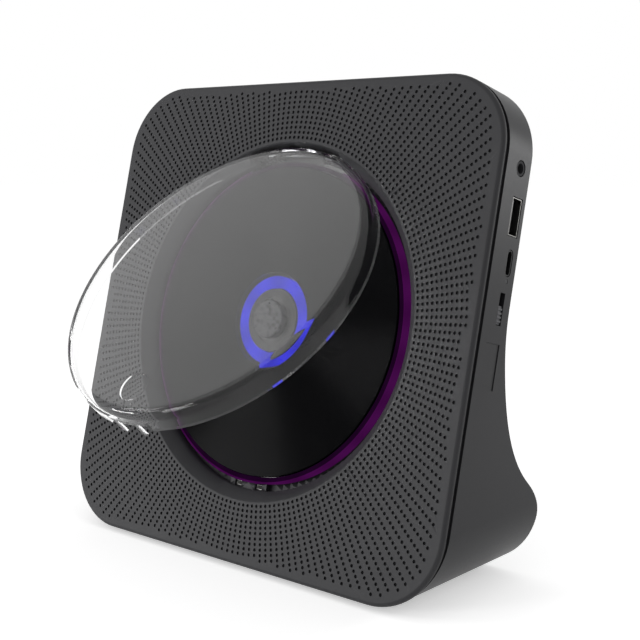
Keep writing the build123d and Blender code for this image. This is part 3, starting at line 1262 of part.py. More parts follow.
def speaker_surround(side):
    """Rubber ring with a half roll, glued to the ledge and the cone."""
    low, high = -SPEAKER_LEDGE, SURROUND_WALL - SPEAKER_LEDGE
    middle = (SURROUND_INNER + SURROUND_OUTER) / 2 - ROLL_INSET
    foot, crown = ROLL_HALF, ROLL_HALF / 2
    ring = turned([
        (SURROUND_INNER, low), (SURROUND_OUTER, low), (SURROUND_OUTER, high), (middle + foot, high),
        (middle + crown, high + ROLL_RISE), (middle - crown, high + ROLL_RISE), (middle - foot, high),
        (SURROUND_INNER, high),
    ])
    return speaker_place(side) * ring


def speaker_magnet(side):
    """Magnet and plates behind the basket, with the pole inside the voice coil."""
    back = -BASKET_DEPTH - BASKET_WALL
    magnet = cylinder(SPEAKER_RADIUS - MAGNET_INSET, back - MAGNET_HEIGHT, back)
    magnet = chamfer(magnet.edges().group_by(Axis.Z)[0], MAGNET_EDGE)
    return speaker_place(side) * (magnet + cylinder(COIL_RADIUS - POLE_GAP, back, back + POLE_HEIGHT))


# Boards and side panel
def main_board():
    """Circuit board on posts in the foot."""
    board = block((-MAIN_BOARD_X, MAIN_BOARD_X), MAIN_BOARD_Y, (MAIN_BOARD_Z, MAIN_TOP))
    for at in MAIN_POSTS:
        board -= cylinder(SCREW_HOLE, MAIN_BOARD_Z - PAST, MAIN_TOP + PAST, at)
    return board


def board_chips():
    """Flat chip packages on the main board."""
    chips = [block(around(x, 2 * half), around(y, 2 * half), (MAIN_TOP, MAIN_TOP + CHIP_HEIGHT))
             for x, y, half in CHIPS]
    return Compound(children=chips)


def board_capacitors():
    """Round capacitors on the main board."""
    cans = [cylinder(CAPACITOR_RADIUS, MAIN_TOP, MAIN_TOP + CAPACITOR_HEIGHT, at) for at in CAPACITORS]
    return Compound(children=[chamfer(can.edges().group_by(Axis.Z)[-1], CAPACITOR_EDGE) for can in cans])


def amplifier_heatsink():
    """Finned block on the amplifier chip."""
    low = MAIN_TOP + CHIP_HEIGHT
    sink = block(HEATSINK_X, HEATSINK_Y, (low, low + HEATSINK_BASE))
    pitch = (HEATSINK_X[1] - HEATSINK_X[0] - HEATSINK_FIN) / (HEATSINK_FINS - 1)
    for index in range(HEATSINK_FINS):
        x = HEATSINK_X[0] + index * pitch
        sink += block((x, x + HEATSINK_FIN), HEATSINK_Y, (low + HEATSINK_BASE, low + HEATSINK_HEIGHT))
    return sink


def port_board():
    """Small board behind the right-hand wall that carries the sockets."""
    board = block(PORT_BOARD_X, PORT_BOARD_Y, (PORT_SEAT, PORT_BOARD_TOP))
    for at in PORT_POSTS:
        board -= cylinder(SCREW_HOLE, PORT_SEAT - PAST, PORT_BOARD_TOP + PAST, at)
    return board


def headphone_jack():
    """Round socket: moulded body on the board, threadless nose through the wall."""
    long, wide = JACK_BODY
    body = block((INSIDE - long, INSIDE), around(JACK_Y, wide), (-JACK_DEPTH - wide / 2, PORT_SEAT))
    body += along_x(JACK_NOSE, (INSIDE - PAST, MOUTH), JACK_Y, -JACK_DEPTH)
    return body - along_x(JACK_BORE, (MOUTH - JACK_LENGTH, MOUTH + PAST), JACK_Y, -JACK_DEPTH)


def usb_socket():
    """Folded metal shell, open at the mouth, on two pairs of legs."""
    wide, high = USB_OPENING
    outer_wide, outer_high = (size + 2 * SOCKET_WALL for size in USB_OPENING)
    back = MOUTH - USB_LENGTH
    shell = block((back, MOUTH), around(USB_Y, outer_wide), around(-USB_DEPTH, outer_high))
    shell -= block((back + SOCKET_WALL, MOUTH + PAST), around(USB_Y, wide), around(-USB_DEPTH, high))
    for x in (back + USB_LEG_INSET[0], INSIDE - USB_LEG_INSET[1]):
        for side in (-1, 1):
            edge = USB_Y + side * outer_wide / 2
            shell += block((x, x + USB_LEG), (edge, edge - side * 2 * SOCKET_WALL),
                           (high / 2 - USB_DEPTH, PORT_SEAT))
    return shell


def usb_tongue():
    """Plastic insert that carries the contacts inside the shell."""
    wide, high = (size - 2 * TONGUE_GAP for size in USB_OPENING)
    back = MOUTH - USB_LENGTH + SOCKET_WALL
    top = high / 2 - USB_DEPTH
    insert = block((back, back + TONGUE_ROOT), around(USB_Y, wide), (top - high, top))
    return insert + block((back + TONGUE_ROOT, MOUTH - TONGUE_SETBACK), around(USB_Y, wide - 2 * TONGUE_SIDE),
                          (top - TONGUE_BAND[1], top - TONGUE_BAND[0]))


def power_socket():
    """Round-ended power inlet with its tongue, on a moulded pedestal."""
    back = MOUTH - POWER_LENGTH
    socket = side_slot([size + 2 * SOCKET_WALL for size in POWER_OPENING], (back, MOUTH), POWER_Y, POWER_DEPTH)
    wide, rise = POWER_PEDESTAL
    socket += block((back, INSIDE), around(POWER_Y, wide), (rise - POWER_DEPTH, PORT_SEAT))
    socket -= side_slot(POWER_OPENING, (back + POWER_BACK, MOUTH + PAST), POWER_Y, POWER_DEPTH)
    near, far = POWER_TONGUE_ENDS
    return socket + block((back + near, MOUTH - far), around(POWER_Y, POWER_TONGUE[0]),
                          around(-POWER_DEPTH, POWER_TONGUE[1]))


def status_led():
    """Indicator with a light pipe through the wall."""
    long, wide = LED_BODY
    back = INSIDE - LED_BODY_BACK
    led = block((back, back + long), around(LED_Y, wide), (-LED_DEPTH - wide / 2, PORT_SEAT))
    return led + along_x(LED_RADIUS, (back + long - PAST, SIDE_WALL - LED_SETBACK), LED_Y, -LED_DEPTH)


def mode_switch_body():
    """Slide switch body with the slot its knob runs in."""
    long, short = SWITCH_WINDOW
    back = INSIDE - SWITCH_BODY_DEPTH
    body = block((back, INSIDE), around(SWITCH_Y, long + 2 * SWITCH_WALL),
                 (-SWITCH_DEPTH - short / 2 - SWITCH_WALL, PORT_SEAT))
    return body - block((back + SWITCH_FLOOR, INSIDE + PAST), around(SWITCH_Y, long),
                        around(-SWITCH_DEPTH, short))


def mode_switch_knob():
    """Ribbed slider, at the low end of its slot."""
    long, short = SWITCH_KNOB
    middle = SWITCH_Y - SWITCH_TRAVEL / 2
    height = around(-SWITCH_DEPTH, short)
    back = INSIDE - SWITCH_BODY_DEPTH + SWITCH_FLOOR + KNOB_FOOT_GAP
    outer = SIDE_WALL - KNOB_SETBACK
    knob = block((back, outer), around(middle, long), height)
    wide, proud = KNOB_RIB
    for index in range(KNOB_RIBS):
        y = middle + (index - (KNOB_RIBS - 1) / 2) * KNOB_RIB_PITCH
        knob += block((outer, outer + proud), around(y, wide), height)
    return knob


# Buttons
def button_bar(x, grow, y):
    """Round-ended prism across the top wall, for a button or its hole."""
    long, short = (size + 2 * grow for size in BUTTON_SIZE)
    low, high = y
    return Pos(x, low, -BUTTON_DEPTH) * Rot(-90, 0, 0) * extrude(SlotOverall(long, short), high - low)


def top_button(x):
    """Button cap with the flange that keeps it in its hole and a plunger below."""
    under_wall = TOP_EDGE - SHELL_WALL - BUTTON_FLOAT
    cap = button_bar(x, 0, (under_wall, TOP_EDGE + BUTTON_PROUD))
    cap = fillet(cap.edges().group_by(Axis.Y)[-1], BUTTON_EDGE)
    cap += button_bar(x, BUTTON_FLANGE_MARGIN, (under_wall - BUTTON_FLANGE, under_wall))
    end = BUTTON_BOARD_Y + SWITCH_HEIGHT + BUTTON_TRAVEL + PLUNGER_GAP
    return cap + along_y(PLUNGER_RADIUS, (end, under_wall - BUTTON_FLANGE), x)


def button_board():
    """Long board under the top wall."""
    y = (BUTTON_BOARD_Y - BOARD, BUTTON_BOARD_Y)
    reach = [end - BUTTON_DEPTH for end in BUTTON_BOARD_REACH]
    board = block((-BUTTON_BOARD_HALF, BUTTON_BOARD_HALF), y, reach)
    for side in (-1, 1):
        board -= along_y(SCREW_HOLE, (y[0] - PAST, y[1] + PAST), side * BUTTON_POST_X)
    return board


def button_switches():
    """Five push switches on the button board."""
    wide, high = SWITCH_BASE
    switches = []
    for x in BUTTON_X:
        base = block(around(x, wide), (BUTTON_BOARD_Y, BUTTON_BOARD_Y + high), around(-BUTTON_DEPTH, wide))
        stem_y = (BUTTON_BOARD_Y + high, BUTTON_BOARD_Y + SWITCH_HEIGHT)
        switches.append(base + along_y(SWITCH_STEM_RADIUS, stem_y, x))
    return Compound(children=switches)


# Small screws
def small_screws():
    """Every small screw: tray, hinge bracket, latch, port board, button board and main board."""
    seats = [(at, TRAY_BACK, TRAY_FLANGE) for at in TRAY_POSTS + BRACKET_POSTS + LATCH_POSTS]
    seats += [(at, PORT_SEAT, BOARD) for at in PORT_POSTS]
    screws = [FACE * small_screw(at, seat, through) for at, seat, through in seats]
    for side in (-1, 1):
        upright = Pos(side * BUTTON_POST_X, BUTTON_BOARD_Y - BOARD, -BUTTON_DEPTH) * Rot(-90, 0, 0)
        screws.append(FACE * (upright * small_screw((0, 0), 0, BOARD)))
    main_length = MAIN_BOARD + MAIN_SCREW_BITE
    main_screw = pan_screw(SCREW_RADIUS, main_length, SCREW_HEAD_RADIUS, SCREW_HEAD, (0, 0), 0)
    screws += [Pos(*at, MAIN_TOP) * Rot(180, 0, 0) * main_screw for at in MAIN_POSTS]
    return Compound(children=screws)


def small_screw(at, seat, through):
    """Screw through a given thickness into a post, its head below the seat."""
    length = through + SCREW_BITE - SCREW_SPARE
    return pan_screw(SCREW_RADIUS, length, SCREW_HEAD_RADIUS, SCREW_HEAD, at, seat)


FACE_PIECES = {
    "front_panel": front_panel, "disc_tray": disc_tray, "tray_light_ring": tray_light_ring,
    "ring_led_strip": ring_led_strip, "hub_light_ring": hub_light_ring, "compact_disc": compact_disc,
    "turntable": turntable, "turntable_pad": turntable_pad, "spindle_hub": spindle_hub,
    "hub_catches": hub_catches, "drive_chassis": drive_chassis, "chassis_dampers": chassis_dampers,
    "chassis_screws": chassis_screws, "guide_rods": guide_rods, "spindle_motor": spindle_motor,
    "pickup_sled": pickup_sled, "pickup_actuator": pickup_actuator, "pickup_lens": pickup_lens,
    "feed_gear": feed_gear, "feed_motor": feed_motor, "feed_pinion": feed_pinion,
    "dust_cover": dust_cover, "hinge_bracket": hinge_bracket, "hinge_pin": hinge_pin,
    "hinge_spring": hinge_spring, "latch_housing": latch_housing, "latch_catch": latch_catch,
    "latch_spring": latch_spring, "port_board": port_board, "headphone_jack": headphone_jack,
    "usb_socket": usb_socket, "usb_tongue": usb_tongue, "power_socket": power_socket,
    "status_led": status_led, "mode_switch_body": mode_switch_body, "mode_switch_knob": mode_switch_knob,
    "button_board": button_board, "button_switches": button_switches,
}
WORLD_PIECES = {
    "rear_shell": rear_shell, "rubber_feet": rubber_feet, "housing_screws": housing_screws,
    "main_board": main_board, "board_chips": board_chips, "board_capacitors": board_capacitors,
    "amplifier_heatsink": amplifier_heatsink, "small_screws": small_screws,
}


def all_pieces():
    """Every piece of the player in the world frame, by node name."""
    pieces = {name: FACE * draw() for name, draw in FACE_PIECES.items()}
    pieces.update({name: draw() for name, draw in WORLD_PIECES.items()})
    for x, name in zip(BUTTON_X, BUTTON_NAMES):
        pieces[name] = FACE * top_button(x)
    for side, name in ((-1, "left"), (1, "right")):
        for part, draw in (("frame", speaker_frame), ("cone", speaker_cone),
                           ("surround", speaker_surround), ("magnet", speaker_magnet)):
            pieces[f"{name}_speaker_{part}"] = FACE * draw(side)
    return pieces


for node, piece in all_pieces().items():
    export_step(piece, f"parts/{node}.step")
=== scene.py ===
"""Looks of the reclined disc player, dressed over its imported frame.

The scene is in metres, in the frame's own axes: +Z up, -Y to the front, origin on the floor
under the housing. Sizes in the classes are millimetres. Pieces on the front are drawn in the
face's own frame, whose origin is the middle of the disc on the housing's outline plane:
x to the right, y up the slope, z out of the face.
"""

import logging
import math
from dataclasses import dataclass, field
from enum import Enum

import bmesh
import bpy
from bmesh.types import BMesh, BMVert
from bpy.types import ID, Material, Mesh, Modifier, Node, NodeSocket, NodeTree, Object
from mathutils import Matrix, Vector


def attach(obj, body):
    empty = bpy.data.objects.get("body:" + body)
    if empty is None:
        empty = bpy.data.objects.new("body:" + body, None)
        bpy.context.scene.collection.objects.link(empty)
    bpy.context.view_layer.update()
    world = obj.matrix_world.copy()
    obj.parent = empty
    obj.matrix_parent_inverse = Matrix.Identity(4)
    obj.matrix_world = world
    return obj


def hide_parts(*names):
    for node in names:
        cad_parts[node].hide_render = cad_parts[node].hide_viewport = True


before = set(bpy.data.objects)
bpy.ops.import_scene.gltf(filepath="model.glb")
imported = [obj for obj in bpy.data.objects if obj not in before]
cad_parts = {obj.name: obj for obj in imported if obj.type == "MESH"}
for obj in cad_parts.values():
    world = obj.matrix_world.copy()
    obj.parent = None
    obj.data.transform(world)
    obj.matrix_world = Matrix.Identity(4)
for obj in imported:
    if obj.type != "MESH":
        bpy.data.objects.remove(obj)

MM = 0.001
LOG = logging.getLogger("disc_player")
SHARP_ANGLE = 32.0
WHITE = "#ffffff"
# Values between which most of a noise texture lies
NOISE_LOW, NOISE_HIGH = 0.3, 0.7
Span = tuple[float, float]
Triple = tuple[float, float, float]
Corners = list[tuple[float, float]]


class Body(Enum):
    """Rigid bodies that pieces ride on."""

    HOUSING = "housing"
    COVER = "cover"
    SPINDLE = "spindle"


class Mark(Enum):
    """Generic key symbols, one for each top button."""

    POWER = "power_button"
    PREVIOUS = "previous_button"
    PLAY = "play_button"
    NEXT = "next_button"
    SOURCE = "source_button"


@dataclass(frozen=True)
class FaceFrame:
    """Frame of the reclined face, as the housing carries it."""

    base_depth: float = 67.0
    face_height: float = 187.0
    foot_lift: float = 1.9
    recline: float = 14.0

    def tilt(self) -> float:
        """Turn about X that lays the face's axes over the world's, in radians."""
        return math.radians(90 - self.recline)

    def origin(self) -> Vector:
        """Middle of the disc on the outline plane, in metres."""
        half, lean = self.face_height / 2, math.radians(self.recline)
        y = half * math.sin(lean) - self.base_depth / 2
        return Vector((0, y, self.foot_lift + half * math.cos(lean))) * MM

    def matrix(self) -> Matrix:
        """Takes millimetres in the face frame to metres in the world."""
        turn = Matrix.Rotation(self.tilt(), 4, "X")
        return Matrix.Translation(self.origin()) @ turn @ Matrix.Scale(MM, 4)


FACE = FaceFrame()


# Small tools for node trees and meshes
def linear(code: str) -> tuple[float, float, float, float]:
    """Turns an sRGB hex colour to linear light.

    Args:
        code: six hex digits, with or without a leading #.

    Returns:
        Red, green, blue and alpha, from 0 to 1.
    """
    code = code.lstrip("#")
    parts = [int(code[i:i + 2], 16) / 255 for i in (0, 2, 4)]
    red, green, blue = (v / 12.92 if v <= 0.04045 else ((v + 0.055) / 1.055) ** 2.4 for v in parts)
    return red, green, blue, 1.0


def feed(tree: NodeTree, socket: NodeSocket, source: object) -> None:
    """Gives a socket its source: an output socket, a node's first output, or a plain value."""
    if isinstance(source, Node):
        source = source.outputs[0]
    if isinstance(source, NodeSocket):
        tree.links.new(source, socket)
    else:
        socket.default_value = source


def add_node(tree: NodeTree, kind: str, inputs: dict | None = None, **settings: object) -> Node:
    """Adds a node with its settings, values and links.

    Args:
        tree: node tree that takes the node.
        kind: Blender's type name of the node.
        inputs: name or index of a socket, to its source as in feed.
        settings: properties of the node itself.

    Returns:
        The new node.
    """
    node = tree.nodes.new(kind)
    for name, value in settings.items():
        setattr(node, name, value)
    for key, source in (inputs or {}).items():
        feed(tree, node.inputs[key], source)
    return node


def link_object(name: str, data: ID) -> Object:
    """Puts a mesh, lamp or camera in the scene as an object at the origin."""
    piece = bpy.data.objects.new(name, data)
    bpy.context.scene.collection.objects.link(piece)
    return piece


def modified(piece: Object) -> Mesh:
    """New mesh of an object with its modifiers applied."""
    return bpy.data.meshes.new_from_object(piece.evaluated_get(bpy.context.evaluated_depsgraph_get()))


def as_mesh(bm: BMesh, name: str) -> Mesh:
    """Turns a bmesh to a mesh as it is, and frees it."""
    mesh = bpy.data.meshes.new(name)
    bm.to_mesh(mesh)
    bm.free()
    return mesh


def plain_mesh(bm: BMesh, name: str) -> Mesh:
    """Turns a bmesh in millimetres to a mesh: doubles merged, faces outwards."""
    bmesh.ops.remove_doubles(bm, verts=bm.verts, dist=0.0005)
    bmesh.ops.recalc_face_normals(bm, faces=bm.faces)
    return as_mesh(bm, name)


def smoothed(mesh: Mesh, place: Matrix | None = None, sharp: float = 35.0) -> Mesh:
    """Smooths a mesh up to an angle, once it is in its place.

    Args:
        mesh: mesh to smooth, changed here.
        place: takes the mesh to metres in the world, where it isn't there yet.
        sharp: edges bent more than this stay sharp, in degrees.

    Returns:
        The same mesh.
    """
    if place is not None:
        mesh.transform(place)
    mesh.shade_smooth()
    mesh.set_sharp_from_angle(angle=math.radians(sharp))
    return mesh


def combined(base: Mesh, other: Mesh, operation: str) -> Mesh:
    """New mesh of one closed mesh with another joined to it, UNION, or cut from it, DIFFERENCE."""
    piece, tool = link_object("base", base), link_object("tool", other)
    modifier = piece.modifiers.new("combine", "BOOLEAN")
    modifier.object, modifier.operation, modifier.solver = tool, operation, "MANIFOLD"
    result = modified(piece)
    for spent in (piece, tool):
        bpy.data.objects.remove(spent)
    return result


def block(x: Span, y: Span, z: Span) -> Mesh:
    """Box given by its span along each axis."""
    bm = bmesh.new()
    middle = Vector((sum(span) / 2 for span in (x, y, z)))
    size = (span[1] - span[0] for span in (x, y, z))
    bmesh.ops.create_cube(bm, size=1.0, matrix=Matrix.Translation(middle) @ Matrix.Diagonal((*size, 1.0)))
    return plain_mesh(bm, "block")


def rod_along_x(radius: float, x: Span, y: float, z: float) -> Mesh:
    """Cylinder lying along X over a span."""
    bm = bmesh.new()
    place = Matrix.Translation((sum(x) / 2, y, z)) @ Matrix.Rotation(math.radians(90), 4, "Y")
    bmesh.ops.create_cone(bm, cap_ends=True, segments=48, radius1=radius, radius2=radius,
                          depth=x[1] - x[0], matrix=place)
    return plain_mesh(bm, "rod")


def prism(outline: Corners, low: float, high: float) -> Mesh:
    """Upright prism over an outline in the XY plane."""
    bm = bmesh.new()
    floor = bm.faces.new([bm.verts.new((x, y, low)) for x, y in outline])
    raised = bmesh.ops.extrude_face_region(bm, geom=[floor])["geom"]
    bmesh.ops.translate(bm, verts=[v for v in raised if isinstance(v, BMVert)], vec=(0, 0, high - low))
    return plain_mesh(bm, "prism")


def enrol(piece: Object, body: str, node: str = "") -> Object:
    """Makes an object in its place a piece of the player.

    Args:
        piece: the object.
        body: rigid body it rides on.
        node: CAD node it stands for, if any.

    Returns:
        The same object.
    """
    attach(piece, body)
    if node:
        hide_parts(node)
    return piece


def dressed(name: str, mesh: Mesh, finish: "Finish", body: str, node: str = "") -> Object:
    """Makes a mesh in its place a piece of the player, with one finish; see enrol."""
    mesh.materials.clear()
    mesh.materials.append(finish.material())
    return enrol(link_object(name, mesh), body, node)


def turned(outline: Corners, steps: int = 192) -> BMesh:
    """Closed turning about Z of a section, given as (radius, height) corners in order round it."""
    bm = bmesh.new()
    verts = [bm.verts.new((radius, 0, height)) for radius, height in outline]
    edges = [bm.edges.new((verts[i], verts[(i + 1) % len(verts)])) for i in range(len(verts))]
    bmesh.ops.spin(bm, geom=verts + edges, cent=(0, 0, 0), axis=(0, 0, 1), dvec=(0, 0, 0),
                   angle=2 * math.pi, steps=steps, use_merge=True)
    return bm


def arc(centre: tuple[float, float], radius: float, start: float, end: float, steps: int = 8) -> Corners:
    """Corners along an arc in the section plane, angles in degrees."""
    turns = [math.radians(start + (end - start) * i / steps) for i in range(steps + 1)]
    return [(centre[0] + radius * math.cos(t), centre[1] + radius * math.sin(t)) for t in turns]


def weigh_normals(piece: Object) -> None:
    """Lets large faces set the shading, with sharp edges kept."""
    weighted = piece.modifiers.new("weighted_normals", "WEIGHTED_NORMAL")
    weighted.keep_sharp = True


class GeometryTree:
    """Geometry Nodes tree with named inputs, run once on an object and turned to a plain mesh."""

    def __init__(self, name: str) -> None:
        """Starts an empty tree with a geometry input and output."""
        self.tree = bpy.data.node_groups.new(name, "GeometryNodeTree")
        self.tree.interface.new_socket("Geometry", in_out="INPUT", socket_type="NodeSocketGeometry")
        self.tree.interface.new_socket("Geometry", in_out="OUTPUT", socket_type="NodeSocketGeometry")
        self.entry = self.tree.nodes.new("NodeGroupInput")
        self.values: dict[str, object] = {}

    def input(self, name: str, kind: str, value: object) -> NodeSocket:
        """Adds a named input.

        Args:
            name: label of the input.
            kind: socket type, such as Float, Int or Material.
            value: what the input is set to when the tree runs.

        Returns:
            The socket that carries the value inside the tree.
        """
        socket = self.tree.interface.new_socket(name, in_out="INPUT", socket_type=f"NodeSocket{kind}")
        self.values[socket.identifier] = value
        return self.entry.outputs[name]

    def lengths(self, **values: float) -> list[NodeSocket]:
        """Adds an input for each length in millimetres, named with _ for each space."""
        return [self.input(name.replace("_", " ").title(), "Float", length * MM)
                for name, length in values.items()]

    def add(self, kind: str, inputs: dict | None = None, **settings: object) -> Node:
        """Adds a node to the tree, as add_node does."""
        return add_node(self.tree, kind, inputs, **settings)

    def close(self, geometry: Node) -> None:
        """Links the finished geometry to the output."""
        self.add("NodeGroupOutput", {0: geometry})

    def attach(self, piece: Object) -> Modifier:
        """Adds the tree to an object as a modifier with its inputs set."""
        modifier = piece.modifiers.new(self.tree.name, "NODES")
        modifier.node_group = self.tree
        for identifier, value in self.values.items():
            modifier[identifier] = value
        return modifier

    def bake(self, piece: Object) -> Object:
        """Replaces the object's mesh by the tree's result and removes the modifier."""
        modifier = self.attach(piece)
        result = modified(piece)
        piece.modifiers.remove(modifier)
        piece.data = result
        return piece

    def cut_node(self, node: str, name: str, finish: "Finish") -> Object:
        """Runs the tree on a welded copy of a CAD node.

        Args:
            node: the CAD node.
            name: name of the new piece.
            finish: surface of the copy.

        Returns:
            The smoothed piece.
        """
        bm = bmesh.new()
        bm.from_mesh(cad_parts[node].data)
        bmesh.ops.remove_doubles(bm, verts=bm.verts, dist=1e-6)
        mesh = as_mesh(bm, f"{node}_welded")
        mesh.materials.clear()
        mesh.materials.append(finish.material())
        piece = self.bake(link_object(name, mesh))
        smoothed(piece.data, sharp=SHARP_ANGLE)
        return piece


# Finishes
class ShaderTree:
    """Material with one Principled shader and Object coordinates in millimetres."""

    def __init__(self, name: str) -> None:
        """Starts the material with its shader and output."""
        self.material = bpy.data.materials.new(name)
        self.material.use_nodes = True
        self.tree = self.material.node_tree
        self.tree.nodes.clear()
        self.shader = self.add("BsdfPrincipled")
        self.output = self.add("OutputMaterial", {"Surface": self.shader})
        place = self.add("TexCoord").outputs["Object"]
        self.place = self.add("Mapping", {"Vector": place, "Scale": (1 / MM, 1 / MM, 1 / MM)})

    def add(self, kind: str, inputs: dict | None = None, **settings: object) -> Node:
        """Adds a node as add_node does, with its type named without ShaderNode."""
        return add_node(self.tree, f"ShaderNode{kind}", inputs, **settings)

    def about_disc(self) -> Node:
        """Coordinates in millimetres measured from the middle of the disc."""
        centre = tuple(-value / MM for value in FACE.origin())
        return self.add("Mapping", {"Vector": self.place, "Location": centre})

    def set(self, **values: object) -> None:
        """Feeds the shader's sockets, named with _ for each space."""
        for name, value in values.items():
            feed(self.tree, self.shader.inputs[name.replace("_", " ")], value)

    def skin(self, tone_by: Node, tones: tuple[str, str], grain: Node | None = None, relief: float = 0.0,
             gloss: Span | None = None) -> None:
        """Lays two tones over the shader, with the relief and uneven gloss of a grain.

        Args:
            tone_by: texture that leads from the first tone to the second.
            tones: the two hex colours.
            grain: texture of the fine relief, if any.
            relief: height of the grain, in millimetres.
            gloss: roughness in the grain's low and high places, where it varies.
        """
        first, second = (linear(tone) for tone in tones)
        tone = self.add("Mix", {0: tone_by, 6: first, 7: second}, data_type="RGBA")
        self.set(Base_Color=tone.outputs[2])
        if grain is not None:
            bump = self.add("Bump", {"Height": grain, "Distance": relief * MM})
            self.set(Normal=bump)
        if gloss is not None:
            rough = self.add("MapRange", {
                "Value": grain, "From Min": NOISE_LOW, "From Max": NOISE_HIGH,
                "To Min": gloss[0], "To Max": gloss[1]})
            self.set(Roughness=rough)


class Finish:
    """A surface that can be built once and given to many pieces."""

    built: dict[str, Material] = {}

    def build(self) -> Material:
        """Makes the material; each finish has its own way."""
        raise NotImplementedError

    def material(self) -> Material:
        """The material, made the first time it is asked for."""
        if self.name not in Finish.built:
            Finish.built[self.name] = self.build()
        return Finish.built[self.name]


@dataclass(frozen=True)
class MouldedPlastic(Finish):
    """Injection-moulded plastic with a spark-eroded skin: fine even pits that soften the gloss."""

    name: str
    colour: str
    deep: str
    roughness: float
    pit: float = 0.35
    relief: float = 0.012
    sheen: float = 0.25
    cloud: float = 45.0
    uneven: float = 0.05

    def build(self) -> Material:
        """Two close tones in soft clouds, under pits a few tenths of a millimetre across."""
        shade = ShaderTree(self.name)
        pits = shade.add("TexNoise", {"Vector": shade.place, "Scale": 1 / self.pit, "Detail": 3.0})
        cloud = shade.add("TexNoise", {"Vector": shade.place, "Scale": 1 / self.cloud, "Detail": 2.0})
        shade.skin(cloud, (self.colour, self.deep), pits, self.relief,
                   (self.roughness - self.uneven, self.roughness + self.uneven))
        shade.set(Specular_IOR_Level=self.sheen)
        return shade.material


@dataclass(frozen=True)
class Metal(Finish):
    """Drawn, brushed or pressed metal with fine lines along one world axis."""

    name: str
    colour: str
    deep: str
    roughness: float
    line: float = 0.12
    along: Triple = (0.04, 1.0, 1.0)
    relief: float = 0.004

    def build(self) -> Material:
        """Stretched noise stands for the tool's lines, which catch the light as streaks."""
        shade = ShaderTree(self.name)
        stretched = shade.add("Mapping", {"Vector": shade.place, "Scale": self.along})
        lines = shade.add("TexNoise", {"Vector": stretched, "Scale": 1 / self.line, "Detail": 4.0})
        shade.skin(lines, (self.colour, self.deep), lines, self.relief,
                   (self.roughness - 0.06, self.roughness + 0.08))
        shade.set(Metallic=1.0)
        return shade.material


@dataclass(frozen=True)
class SoftRubber(Finish):
    """Moulded rubber: dull, with a faint bloom in patches."""

    name: str = "moulded_rubber"
    colour: str = "#1b1b1c"
    bloom: str = "#2a2a2b"
    patch: float = 6.0
    grain: float = 0.3
    relief: float = 0.02

    def build(self) -> Material:
        """Patchy bloom over a fine matte grain."""
        shade = ShaderTree(self.name)
        patch = shade.add("TexNoise", {"Vector": shade.place, "Scale": 1 / self.patch, "Detail": 4.0})
        grain = shade.add("TexNoise", {"Vector": shade.place, "Scale": 1 / self.grain, "Detail": 2.0})
        shade.skin(patch, (self.colour, self.bloom), grain, self.relief)
        shade.set(Roughness=0.82)
        return shade.material


@dataclass(frozen=True)
class ClearPlastic(Finish):
    """Polished clear acrylic or polycarbonate, which lets lamps light what is behind it."""

    name: str
    gloss: float
    index: float = 1.1
    tint: str = WHITE

    def build(self) -> Material:
        """Barely bent light with the gloss of polish over it; rays from lamps pass straight through."""
        shade = ShaderTree(self.name)
        shade.set(Base_Color=linear(self.tint), Roughness=0.0, IOR=self.index, Transmission_Weight=1.0,
                  Coat_Weight=self.gloss, Coat_Roughness=0.0, Coat_IOR=1.49)
        open_to_light = shade.add("BsdfTransparent", {"Color": linear(self.tint)})
        path = shade.add("LightPath").outputs
        lamp_ray = shade.add("Math", {0: path["Is Shadow Ray"], 1: path["Is Diffuse Ray"]}, operation="MAXIMUM")
        blend = shade.add("MixShader", {0: lamp_ray, 1: shade.shader, 2: open_to_light})
        feed(shade.tree, shade.output.inputs["Surface"], blend)
        return shade.material


@dataclass(frozen=True)
class LightGuide(Finish):
    """Translucent ring lit from below: even glow with faint brighter spots over its lamps."""

    name: str
    colour: str
    glow: str
    spots: int
    swell: float = 0.15

    def build(self) -> Material:
        """Glow that swells a little once for each lamp round the ring."""
        shade = ShaderTree(self.name)
        turn = shade.add("Mapping", {"Vector": shade.about_disc(), "Rotation": (-FACE.tilt(), 0, 0)})
        axes = shade.add("SeparateXYZ", {"Vector": turn}).outputs
        angle = shade.add("Math", {0: axes["Y"], 1: axes["X"]}, operation="ARCTAN2")
        wave = shade.add("Math", {0: angle, 1: float(self.spots)}, operation="MULTIPLY")
        swell = shade.add("Math", {0: wave}, operation="COSINE")
        glow = shade.add("MapRange", {
            "Value": swell, "From Min": -1.0, "From Max": 1.0, "To Min": 1 - self.swell,
            "To Max": 1 + self.swell})
        shade.set(Base_Color=linear(self.colour), Roughness=0.4, Specular_IOR_Level=0.0,
                  Emission_Color=linear(self.glow), Emission_Strength=glow)
        return shade.material


@dataclass(frozen=True)
class DiscLacquer(Finish):
    """Black lacquered disc: its fine circular track draws lamps out into radial streaks."""

    name: str = "black_disc_lacquer"
    colour: str = "#040405"
    band: float = 2.4
    roughness: float = 0.25
    uneven: float = 0.01

    def build(self) -> Material:
        """Anisotropic gloss round the disc's axis, with faint wider bands in the track."""
        shade = ShaderTree(self.name)
        local = shade.about_disc()
        distance = shade.add("VectorMath", {0: local}, operation="LENGTH")
        rings = shade.add("TexNoise", {
            "W": distance.outputs["Value"], "Scale": 1 / self.band, "Detail": 3.0}, noise_dimensions="1D")
        radial = shade.add("VectorMath", {0: local}, operation="NORMALIZE")
        gloss = shade.add("MapRange", {
            "Value": rings, "From Min": NOISE_LOW, "From Max": NOISE_HIGH,
            "To Min": self.roughness - self.uneven, "To Max": self.roughness + self.uneven})
        shade.set(Base_Color=linear(self.colour), Roughness=gloss, Anisotropic=1.0,
                  Tangent=radial, Specular_IOR_Level=0.02)
        return shade.material


